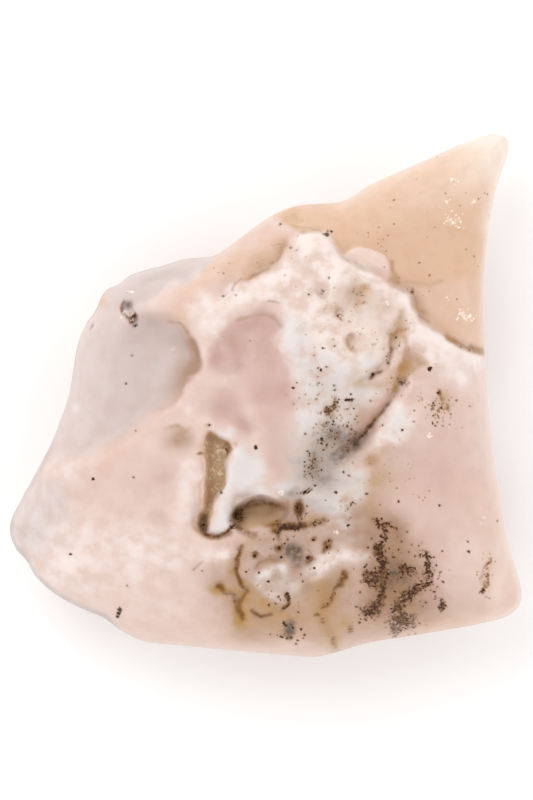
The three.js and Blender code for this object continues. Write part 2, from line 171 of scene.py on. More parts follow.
# Specks: the colours of core and halo, how far the halo reaches, and how much of it shows.
GROWTHS = {
    "freckle": ("#a87d52", "#cfae8a", 0.08, 0.3),
    "dendrite": ("#47200a", "#a0774f", 0.12, 0.4),
    "speck": ("#421b04", "#b18d68", 0.12, 0.4),
    "chip_and_glint": ("#fff1e4", "#f6dcc8", 0.08, 0.5),
}
# How much the finest grain frays a speck, and where its core and its halo begin and are full.
SPECK_FRAY = 0.3
SPECK_EDGE = (0.12, 0.18)
HALO_EDGE = (0.15, 0.16)
# How far round a speck its ink is worked out. Further off, the ink is minus this.
INK_REACH = 0.3

# How far down the side the marks of the top run, and how far down it the grey marks and the painted shade
# along the rim run.
TOP_MARKS_FADE = 2.4
GREY_AND_RIM_SHADE_FADE = 0.9
# How far in from the rim the edges of the marks begin to wander, and how far they wander.
STEADY_RIM = 1.2
WANDER = 0.12
FINE_WANDER = 0.05
CLOUD_WANDER = 0.3

# Kinds that lie in loose clouds, whose edges wander further, and the clouds of the underside with
# their seeds and strengths.
CLOUDS = ("wash_and_shade", "milk", "frost", "haze_and_shade", "blush_and_shade", "straw", "sand")
UNDER_CLOUDS = {"milk": (31, 0.8), "frost": (33, 0.5), "blush_and_shade": (35, 0.6), "tan_and_shade": (37, 0.35)}

# The rim, seen from above and counter-clockwise from the right edge: x, y and its height.
RIM = [
    (15.35, 3.0, 5.6), (15.25, 6.8, 5.8), (15.45, 10.2, 5.8), (15.75, 12.3, 5.7),
    (16.1, 14.2, 5.5), (16.65, 15.9, 5.3), (17.05, 17.2, 5.2), (16.95, 18.0, 5.1),
    (16.3, 18.36, 5.1), (15.2, 18.2, 5.1), (13.6, 17.6, 5.2), (11.5, 16.65, 5.4),
    (7.9, 15.05, 5.7), (6.9, 14.55, 5.8), (6.1, 13.95, 5.9), (5.0, 13.52, 6.0),
    (3.4, 13.42, 6.2), (2.0, 13.25, 6.3), (0.6, 12.7, 6.4), (-0.8, 11.8, 6.4),
    (-2.2, 10.75, 6.3), (-3.5, 9.85, 6.1), (-4.0, 9.72, 5.7), (-5.6, 9.58, 5.2),
    (-7.2, 9.12, 5.0), (-9.6, 8.4, 4.9), (-10.4, 7.75, 4.9), (-11.1, 7.5, 4.9),
    (-11.65, 6.75, 5.0), (-11.95, 5.98, 5.0), (-12.6, 5.1, 5.0), (-13.2, 3.7, 5.1),
    (-13.55, 1.8, 5.2), (-13.85, 0.0, 5.3), (-14.4, -1.6, 5.3), (-15.2, -3.6, 5.3),
    (-17.3, -7.5, 5.0), (-17.9, -8.7, 4.9), (-18.02, -9.6, 4.9), (-17.6, -10.8, 4.9),
    (-16.8, -11.7, 5.0), (-16.3, -12.6, 5.0), (-15.1, -13.8, 5.1), (-13.2, -14.9, 5.2),
    (-11.3, -15.7, 5.3), (-10.2, -16.55, 5.3), (-8.6, -17.3, 5.3), (-6.0, -17.6, 5.3),
    (0.5, -18.2, 5.4), (3.6, -18.38, 5.5), (5.2, -18.0, 5.5), (7.2, -17.4, 5.5),
    (10.0, -16.95, 5.6), (15.6, -15.95, 5.6), (17.0, -15.5, 5.6), (17.75, -14.85, 5.6),
    (17.95, -13.9, 5.6), (17.6, -12.3, 5.6), (17.05, -10.5, 5.6), (16.25, -6.1, 5.6),
    (15.85, -3.0, 5.6),
]

# The point inside the rim that every part of the rim faces.
HEART = (1.68, -1.75)

# Lines of the broken surface, seen from above.
CREST = [
    (1.2, 12.3), (2.5, 11.8), (3.6, 11.35), (4.4, 10.95), (4.9, 10.2), (5.3, 9.7), (6.2, 9.05),
    (6.9, 8.6), (7.9, 8.3), (8.5, 8.0), (8.9, 7.6), (9.6, 7.3), (10.1, 6.95), (10.4, 6.15),
    (10.9, 5.35), (11.6, 4.8), (12.4, 4.15), (13.2, 3.5), (14.2, 3.05), (15.4, 2.85),
]
CREST_RIDGE = [
    (2.6, 10.8), (4.0, 10.1), (4.6, 9.3), (5.8, 8.4), (7.0, 7.7), (8.3, 7.2), (9.3, 6.5),
    (9.8, 5.6), (10.8, 4.5), (12.2, 3.4), (13.8, 2.4),
]
FLANK_EDGE = [
    (-3.4, 6.6), (-2.5, 6.95), (-2.3, 7.4), (-2.1, 7.8), (-1.7, 8.15), (-1.1, 8.4),
    (-0.3, 8.75), (0.4, 9.15), (0.9, 9.6), (1.1, 10.2), (1.7, 10.7), (2.6, 11.3),
]
FLANK_TROUGH = [(-3.0, 7.6), (-2.3, 8.5), (-1.0, 9.3), (0.4, 10.0), (1.0, 10.5)]
SLIVER_EDGE = [(-9.4, 5.7), (-8.2, 6.4), (-7.0, 7.1), (-5.6, 7.9), (-4.5, 8.7), (-3.7, 9.6)]
SCOOP_EDGE = [
    (-10.6, 5.6), (-8.6, 5.4), (-6.9, 5.3), (-5.8, 4.7), (-5.3, 3.85), (-4.9, 3.0),
    (-4.85, 2.3), (-5.3, 1.5), (-6.0, 0.35), (-7.1, -0.6), (-8.2, -1.5), (-9.3, -2.5),
    (-10.4, -3.3), (-11.6, -3.9), (-13.0, -4.3), (-15.6, -4.4),
]
LEDGE_BLOCK = [
    (5.5, 9.75), (6.1, 10.3), (7.4, 10.15), (8.25, 9.75), (8.6, 8.9), (8.6, 8.1), (7.8, 8.0),
    (6.7, 8.4), (5.9, 9.1),
]
FAN_EDGE = [(8.8, 8.05), (9.7, 7.95), (11.1, 7.7), (12.5, 8.0), (14.0, 8.5), (15.5, 9.4)]
DIMPLE = [
    (-3.4, 3.6), (-2.7, 4.7), (-2.0, 5.25), (-1.2, 5.5), (-0.3, 5.67), (0.6, 5.4), (1.05, 4.8),
    (0.75, 4.1), (1.1, 3.15), (1.55, 2.3), (1.5, 1.2), (1.1, 0.0), (-0.2, -0.5), (-1.8, 0.1),
    (-3.1, 1.3), (-3.7, 2.6),
]
DIMPLE_BROW = [(-2.2, 5.1), (-1.3, 5.42), (-0.3, 5.58), (0.6, 5.25), (1.0, 4.7)]
SECOND_ARC = [(-3.9, -1.0), (-3.0, -1.0), (-2.2, -1.25), (-1.5, -1.75), (-1.0, -2.3)]
SLOT = [
    (-3.95, -2.62), (-3.65, -2.72), (-3.3, -2.95), (-2.9, -3.15), (-2.6, -3.4), (-2.48, -3.8),
    (-2.62, -4.15), (-2.83, -4.55), (-2.8, -5.2), (-2.82, -5.8), (-2.95, -6.3), (-3.3, -6.85),
    (-3.65, -7.35), (-3.9, -8.0), (-4.05, -8.7), (-4.12, -9.45), (-4.35, -9.6), (-4.62, -9.2),
    (-4.6, -8.6), (-4.4, -7.8), (-4.25, -7.0), (-4.25, -6.0), (-4.15, -5.2), (-4.15, -4.4),
    (-4.22, -4.05), (-4.22, -3.6), (-4.18, -3.0),
]
SLOT_BANK = [(-4.7, -5.0), (-4.9, -6.0), (-4.85, -7.0), (-4.95, -8.2)]
HOLLOW = [
    (-2.5, -9.1), (-2.4, -8.45), (-1.96, -7.84), (-1.4, -7.45), (-0.8, -7.2), (-0.28, -7.14),
    (0.28, -7.28), (0.77, -7.5), (1.15, -7.65), (1.4, -7.8), (1.5, -8.1), (1.35, -8.5),
    (0.85, -8.95), (0.2, -9.35), (-0.5, -9.6), (-1.3, -9.75), (-2.1, -9.6),
]
HOLLOW_BROW = [(-1.7, -7.0), (-1.1, -6.75), (-0.4, -6.6), (0.3, -6.7), (1.2, -6.95)]
PRONG = [(-1.9, -4.4), (-2.2, -5.5), (-2.45, -6.6), (-2.95, -7.8), (-3.25, -9.0)]
PRONG_FOOT = [(-4.2, -9.7), (-3.6, -9.78), (-3.0, -9.75), (-2.55, -9.5)]
CREVICE = [(9.5, 0.85), (8.9, 0.0), (8.3, -0.9), (7.65, -1.75), (7.1, -2.6), (6.4, -3.3)]
CREVICE_TAIL = [(6.4, -3.3), (5.5, -4.0), (4.5, -5.2)]
UPPER_CREASE = [(8.2, 4.5), (8.9, 3.9), (8.5, 2.6), (8.0, 1.9), (7.4, 1.4)]
VEIN = [
    (-1.7, -10.6), (-2.1, -11.2), (-2.15, -11.9), (-2.2, -12.5), (-1.8, -13.0), (-1.4, -13.5),
    (-1.65, -13.9), (-1.8, -14.4), (-1.8, -15.0), (-1.6, -15.6),
]
VEIN_BRANCH = [(-3.15, -13.4), (-2.8, -13.75), (-2.2, -13.95), (-2.1, -14.9), (-1.65, -15.6)]
LUMP_BROW = [(-0.6, -12.1), (-0.3, -11.75), (0.3, -11.55), (0.9, -11.5)]
LOWER_ARC = [(-0.9, -15.2), (-0.3, -15.5), (0.4, -15.4), (1.1, -15.1)]
HOOK = [(1.45, -13.9), (1.62, -14.35), (1.4, -14.7), (1.15, -14.95)]
LONG_STROKE = [(5.4, -12.6), (5.2, -13.2), (4.85, -13.8), (4.5, -14.35), (4.0, -14.8)]

# Corners outside the stone that close the areas reaching over its rim.
BEYOND_HORN = [(24, 2.8), (24, 26), (-4, 26), (0.2, 12.9)]
BEYOND_FLANK = [(2, 16), (-8, 12), (-4.6, 7.6)]
BEYOND_SLIVER = [(-3.4, 13), (-14, 13), (-13, 6.6)]
BEYOND_SCOOP = [(-22, -4.4), (-22, 8), (-12.6, 6.2)]
BEYOND_FAN = [(18, 9.5), (18, 2.6), (12.4, 4.15), (10.1, 6.95)]


def smooth(t):
    c = np.clip(t, 0.0, 1.0)
    return c * c * (3.0 - 2.0 * c)


def mix(a, b, t):
    return a + (b - a) * t


def curve(points, closed=False, steps=CURVE_STEPS):
    """A smooth curve through the given points, as an array of closely spaced points."""
    points = np.array(points, float)
    if closed:
        ring = np.vstack([points[-1], points, points[0], points[1]])
    else:
        ring = np.vstack([2 * points[0] - points[1], points, 2 * points[-1] - points[-2]])
    made = []
    for a, b, c, d in zip(ring, ring[1:], ring[2:], ring[3:]):
        ab, bc, cd = (max(np.linalg.norm(q - p), 1e-6) ** 0.5 for p, q in ((a, b), (b, c), (c, d)))
        leave = (b - a) / ab - (c - a) / (ab + bc) + (c - b) / bc
        arrive = (c - b) / bc - (d - b) / (bc + cd) + (d - c) / cd
        for t in np.arange(steps) / steps:
            made.append(
                (2 * t**3 - 3 * t**2 + 1) * b + (t**3 - 2 * t**2 + t) * leave * bc
                + (3 * t**2 - 2 * t**3) * c + (t**3 - t**2) * arrive * bc
            )
    made.append(points[0] if closed else points[-1])
    return np.array(made)


def evenly(line, count):
    """The same line as count + 1 points at equal distances."""
    run = np.concatenate([[0], np.cumsum(np.linalg.norm(np.diff(line, axis=0), axis=1))])
    at = np.linspace(0, run[-1], count + 1)
    return np.stack([np.interp(at, run, line[:, k]) for k in range(line.shape[1])], axis=1)


def distance_to(line, x, y):
    nearest = np.full(x.shape, 1e9)
    for (ax, ay), (bx, by) in zip(line[:, :2], line[1:, :2]):
        dx, dy = bx - ax, by - ay
        t = np.clip(((x - ax) * dx + (y - ay) * dy) / max(dx * dx + dy * dy, 1e-12), 0, 1)
        away = (ax + t * dx - x) ** 2 + (ay + t * dy - y) ** 2
        np.minimum(nearest, away, out=nearest)
    return np.sqrt(nearest)


def is_inside(outline, x, y):
    inside = np.zeros(x.shape, bool)
    for (ax, ay), (bx, by) in zip(outline, np.roll(outline, 1, axis=0)):
        if ay == by:
            continue
        crosses = ((ay > y) != (by > y)) & (x < (bx - ax) * (y - ay) / (by - ay) + ax)
        inside ^= crosses
    return inside


def near(line, reach, x, y):
    """Which points lie in the box round a line, grown by the given reach."""
    low, high = line[:, :2].min(axis=0) - reach, line[:, :2].max(axis=0) + reach
    return (x > low[0]) & (x < high[0]) & (y > low[1]) & (y < high[1])


def in_box(line, reach, x, y, values_at, elsewhere=0.0):
    """values_at(x, y) for the points near the line, and a plain number for all others."""
    made = np.full(x.shape, elsewhere)
    close = near(line, reach, x, y)
    if close.any():
        made[close] = values_at(x[close], y[close])
    return made


# Lines that need a fine surface on both sides.
detail_lines = []


def sunk(edge, beyond, depth, wall, fade=None):
    """An area that lies lower than its surroundings, behind a wall of the given width."""
    seen = curve(edge, not beyond)
    outline = np.vstack([seen, beyond]) if beyond else seen
    detail_lines.append(seen)

    def at(x, y):
        away = distance_to(seen, x, y)
        signed = np.where(is_inside(outline, x, y), away, -away)
        drop = -depth * smooth(0.5 + signed / wall)
        return drop * fade(x, y) if fade else drop

    return lambda x, y: in_box(outline, wall, x, y, at)


def groove(points, depth, half_width):
    """A groove along a line; a negative depth makes it a ridge."""
    line = curve(points)
    if half_width < 0.5:
        detail_lines.append(line)
    return lambda x, y: in_box(
        line, 3 * half_width, x, y,
        lambda u, v: -depth * np.exp(-((distance_to(line, u, v) / half_width) ** 2)),
    )


def oval(x, y, at_x, at_y, half_length, half_width, turn):
    """How far a point is from an oval's middle, as a share of the oval's size."""
    c, s = math.cos(math.radians(turn)), math.sin(math.radians(turn))
    along = ((x - at_x) * c + (y - at_y) * s) / half_length
    across = ((y - at_y) * c - (x - at_x) * s) / half_width
    return np.hypot(along, across)


def lump(at_x, at_y, half_length, half_width, turn, height):
    """A rounded lump, or a dent where the height is negative."""
    if min(half_length, half_width) < 0.8:
        detail_lines.append(np.array([(at_x, at_y), (at_x + 0.1, at_y)]))
    return lambda x, y: height * np.exp(-oval(x, y, at_x, at_y, half_length, half_width, turn) ** 2)


def scoop_fade(x, y):
    """The scoop is deepest on the right and dies out towards the left rim and its upper corner."""
    corner = smooth((-8.4 - x) / 2) * smooth((y - 2.8) / 2.4)
    return (0.4 + 0.6 * smooth((x + 12.5) / 6)) * (1 - corner)


def hollow_fade(x, y):
    """The hollow is deepest below its brow; its floor rises to the surface at the foot and the right."""
    return smooth((y + 9.55) / 1.7) * (1 - 0.6 * smooth((x - 0.4) / 1.1))


def slot_fade(x, y):
    """The slot has a gentle left bank, but its lower end is steep on both sides."""
    return mix(1, smooth((x + 4.55) / 0.9), smooth((y + 8.6) / 0.8))


TOP_FORMS = [
    # The horn lies lower than the white mass, and the step dies out on the upper left.
    sunk(CREST, BEYOND_HORN, HORN_DROP, 0.75, lambda x, y: smooth((x - 0.6) / 3.6)),
    groove(CREST_RIDGE, -0.45, 1.3),
    sunk(FAN_EDGE, BEYOND_FAN, 0.16, 0.8, lambda x, y: smooth((16 - x) / 5)),
    sunk(LEDGE_BLOCK, [], -0.65, 0.4),
    lump(10.9, 13.2, 3.4, 1.6, 30, 0.25),
    # The peach flank and the grey sliver fall away to the rim above the scoop.
    sunk(
        FLANK_EDGE, BEYOND_FLANK, FLANK_DROP, 0.45,
        lambda x, y: smooth((x + 3.6) / 1.4) * smooth((3.2 - x) / 2),
    ),
    groove(FLANK_TROUGH, 0.3, 0.9),
    sunk(SLIVER_EDGE, BEYOND_SLIVER, SLIVER_DROP, 1.4, lambda x, y: smooth((x + 9.8) / 2.5)),
    # The shell-shaped scoop, steep on the right and shallow at its lower end.
    sunk(SCOOP_EDGE, BEYOND_SCOOP, SCOOP_DEPTH, 1.5, scoop_fade),
    lump(-8.8, 2.4, 2.6, 3.4, -20, -0.35),
    lump(-15.2, -8.2, 1.6, 2.4, 10, -0.2),
    # The pink dimple and the arc below it.
    sunk(DIMPLE, [], DIMPLE_DEPTH, 2.2),
    groove(DIMPLE_BROW, 0.14, 0.35),
    groove(SECOND_ARC, 0.35, 0.6),
    lump(-5.8, -3.1, 1.3, 0.9, -20, -0.35),
    # The two cavities, with the smooth prong between them.
    sunk(SLOT, [], SLOT_DEPTH, 0.5, slot_fade),
    groove(SLOT_BANK, 0.25, 0.6),
    sunk(HOLLOW, [], HOLLOW_DEPTH, 0.55, hollow_fade),
    lump(-1.9, -8.6, 0.45, 0.8, 30, -0.9),
    groove(HOLLOW_BROW, 0.2, 0.4),
    groove(PRONG, -0.35, 0.55),
    groove(PRONG_FOOT, 0.45, 0.25),
    lump(2.3, -7.9, 0.3, 0.5, 0, -0.6),
    lump(2.8, -6.75, 0.5, 0.16, 30, -0.3),
    # The crevice below the crest and the white lump beside it.
    groove(CREVICE, CREVICE_DEPTH, 0.42),
    groove(CREVICE_TAIL, 0.35, 0.8),
    lump(9.0, -2.4, 1.1, 2.0, -25, 0.4),
    groove(UPPER_CREASE, 0.4, 0.4),
    lump(9.9, 2.2, 1.3, 0.9, 20, -0.3),
    lump(7.0, 6.6, 0.45, 1.5, 0, 0.45),
    lump(6.1, 6.9, 0.45, 0.9, -20, -0.5),
    lump(4.8, 7.7, 0.45, 1.4, -15, 0.4),
    lump(3.8, 7.0, 0.6, 0.5, 0, -0.25),
    lump(5.2, 5.6, 0.5, 0.6, 0, -0.25),
    lump(5.95, 3.6, 0.35, 0.7, 0, -0.4),
    lump(7.3, 4.0, 0.9, 0.7, 0, 0.45),
    lump(8.7, 6.1, 0.8, 0.7, 0, -0.2),
    # The lumpy lower middle with its veins.
    groove(VEIN, 0.25, 0.3),
    groove(VEIN_BRANCH, 0.2, 0.35),
    groove(LUMP_BROW, 0.25, 0.35),
    groove(LOWER_ARC, 0.15, 0.35),
    groove(HOOK, 0.2, 0.22),
    groove(LONG_STROKE, 0.2, 0.3),
    lump(0.8, -12.7, 1.4, 0.9, 0, 0.45),
    lump(3.9, -11.7, 1.6, 0.8, 30, 0.3),
    lump(-3.3, -11.2, 1.8, 1.6, 0, 0.25),
    lump(1.5, -16.5, 0.4, 0.5, 0, -0.25),
    lump(5.0, -7.3, 1.8, 1.2, 30, 0.3),
    # The small vug near the left rim, and single pits.
    lump(-9.7, 6.2, 0.5, 0.4, 30, -0.9),
    lump(-9.25, 5.4, 0.25, 0.5, 20, -0.7),
    lump(-10.3, -15.35, 0.22, 0.35, 0, -0.25),
]

# Broad worn hollows around the base.
UNDER_FORMS = [
    lump(8.5, 8.5, 5.2, 3.8, 50, 0.7),
    lump(-9.5, -7.5, 5.0, 4.0, 20, 0.5),
    lump(11.0, -10.5, 4.2, 3.2, -30, 0.5),
    lump(-6.5, 4.0, 4.0, 3.2, 60, 0.5),
    lump(0.5, -13.5, 4.2, 2.6, 5, 0.4),
]

RIM_LINE = evenly(curve(RIM, True), RIM_STEPS)


def ripples(seed, wavelength, count=16):
    """Smooth seeded noise of about unit strength over two or three coordinates."""
    draw = np.random.default_rng(seed)
    waves = draw.normal(size=(count, 3))
    lengths = wavelength * draw.uniform(0.7, 1.4, count)
    waves *= (2 * math.pi / lengths / np.linalg.norm(waves, axis=1))[:, None]
    phases = draw.uniform(0, 2 * math.pi, count)

    def at(x, y, z=0.0):
        total = np.zeros(np.shape(x))
        for (wx, wy, wz), phase in zip(waves, phases):
            total += np.sin(wx * x + wy * y + wz * z + phase)
        return total * (2 / count) ** 0.5 * 0.7

    return at


def swell(x, y):
    """Slow swells that keep the polished surface from being even."""
    broad = np.sin(0.55 * x + 0.6 + 0.9 * np.sin(0.31 * y)) * np.cos(0.48 * y - 0.5)
    return 0.1 * broad + 0.05 * np.sin(1.15 * x - 0.75 * y + 2)


def top_height(x, y):
    east, north = x - CROWN_X, y - CROWN_Y
    dome = np.where(east > 0, FALL_EAST, FALL_WEST) * east**2
    dome += np.where(north > 0, FALL_NORTH, FALL_SOUTH) * north**2
    return CROWN_HEIGHT - dome + swell(x, y) + sum(form(x, y) for form in TOP_FORMS)


def under_height(x, y, edge_height):
    """The underside: flat and worn in the middle, rising like a keel towards the rim."""
    out = np.hypot((x - BASE_X) / BASE_HALF_LENGTH, (y - BASE_Y) / BASE_HALF_WIDTH) - 1
    rise = KEEL_RISE * np.clip(out, 0, None) ** KEEL_POWER
    rise += smooth(out / 0.6) * sum(form(x, y) for form in UNDER_FORMS)
    return np.where(out <= 0, 0, np.minimum(rise, edge_height - LEAST_EDGE))


def quarter_round(distance, radius):
    """0 at the rim, 1 from the given distance inwards."""
    t = 1 - np.clip(distance / radius, 0, 1)
    return np.sqrt(1 - t**ROUNDING_POWER)


def top_rounding(x, y):
    """How broadly the top is rounded over the rim."""
    right_edge = smooth((x - 13.5) / 2)
    flank = smooth((y - 9.5) / 2) * smooth((6 - x) / 4)
    bottom = smooth((-13 - y) / 3)
    return mix(3 + 2.2 * flank + 1.4 * bottom, 1.7, right_edge)


def plan_of(directions):
    """Where points of the unit sphere lie in plan: rim point, x, y and whether they are on top."""
    turn = np.arctan2(directions[:, 1], directions[:, 0]) / (2 * math.pi) % 1.0
    at = np.arange(RIM_STEPS + 1) / RIM_STEPS
    rim = np.stack([np.interp(turn, at, RIM_LINE[:, k]) for k in range(3)], axis=1)
    latitude = np.arccos(np.clip(directions[:, 2], -1, 1))
    on_top = latitude < RIM_LATITUDE
    share = np.where(on_top, latitude / RIM_LATITUDE, (math.pi - latitude) / (math.pi - RIM_LATITUDE))
    reach = np.sin(share * math.pi / 2)
    x = mix(HEART[0], rim[:, 0], reach)
    y = mix(HEART[1], rim[:, 1], reach)
    return rim, x, y, on_top


def place(directions):
    """Carries points of the unit sphere to the stone's surface."""
    rim, x, y, on_top = plan_of(directions)
    inwards = distance_to(RIM_LINE, x, y)
    target = np.where(on_top, 0.0, under_height(x, y, rim[:, 2]))
    target[on_top] = top_height(x[on_top], y[on_top])
    radius = np.where(on_top, top_rounding(rim[:, 0], rim[:, 1]), UNDER_ROUNDING)
    z = mix(rim[:, 2], target, quarter_round(inwards, radius))
    return np.stack([x, y, z], axis=1), rim[:, 2]


def area(outline, softness, strength):
    """A mark that fills an outline, with an edge of the given softness."""
    line = curve(outline, True)

    def at(x, y):
        away = distance_to(line, x, y)
        return strength * smooth(0.5 + np.where(is_inside(line, x, y), away, -away) / softness)

    return lambda x, y: in_box(line, softness, x, y, at)


def stroke(points, half_width, strength):
    """A mark along a line, fading out on both sides."""
    line = curve(points)
    return lambda x, y: in_box(
        line, 2.2 * half_width, x, y,
        lambda u, v: strength * np.exp(-((distance_to(line, u, v) / half_width) ** 2)),
    )


def blot(at_x, at_y, half_length, half_width, turn, strength):
    """An oval mark that fades out on all sides."""
    spot = np.array([(at_x, at_y)])
    reach = 2.2 * max(half_length, half_width)
    return lambda x, y: in_box(
        spot, reach, x, y,
        lambda u, v: strength * np.exp(-oval(u, v, at_x, at_y, half_length, half_width, turn) ** 2),
    )


def spots(seed, at_x, at_y, half_length, half_width, count, size, strength):
    """Small soft spots strewn over an oval."""
    draw = np.random.default_rng(seed)
    made = [
        blot(at_x + u * half_length, at_y + v * half_width, size * share, size * share, 0, strength)
        for u, v, share in zip(*draw.normal(0, 0.5, (2, count)), draw.uniform(0.5, 1.5, count))
    ]

    def at(x, y):
        clear = np.ones(x.shape)
        for spot in made:
            clear *= 1 - spot(x, y)
        return 1 - clear

    reach = 3 * max(half_length, half_width)
    return lambda x, y: in_box(np.array([(at_x, at_y)]), reach, x, y, at)


def bank(edge, beyond, width, strength, fade=None):
    """Painted shade that starts sharply at an edge and fades out inwards from it, on the side that steps
    down.
    """
    seen = curve(edge, not beyond)
    outline = np.vstack([seen, beyond]) if beyond else seen

    def at(x, y):
        away = distance_to(seen, x, y)
        inner = np.clip(1 - away / width, 0, 1)
        cover = np.where(is_inside(outline, x, y), inner, np.exp(-((away / 0.28) ** 2)))
        return strength * cover * (fade(x, y) if fade else 1)

    return lambda x, y: in_box(seen, width, x, y, at)


def edging(x_range, y_range, width, strength):
    """A mark along the rim, within a window of x and y."""
    def at(x, y):
        within = smooth((x - x_range[0]) / 1.5) * smooth((x_range[1] - x) / 1.5)
        within *= smooth((y - y_range[0]) / 1.5) * smooth((y_range[1] - y) / 1.5)
        return strength * within * np.exp(-((distance_to(RIM_LINE, x, y) / width) ** 2))

    return at
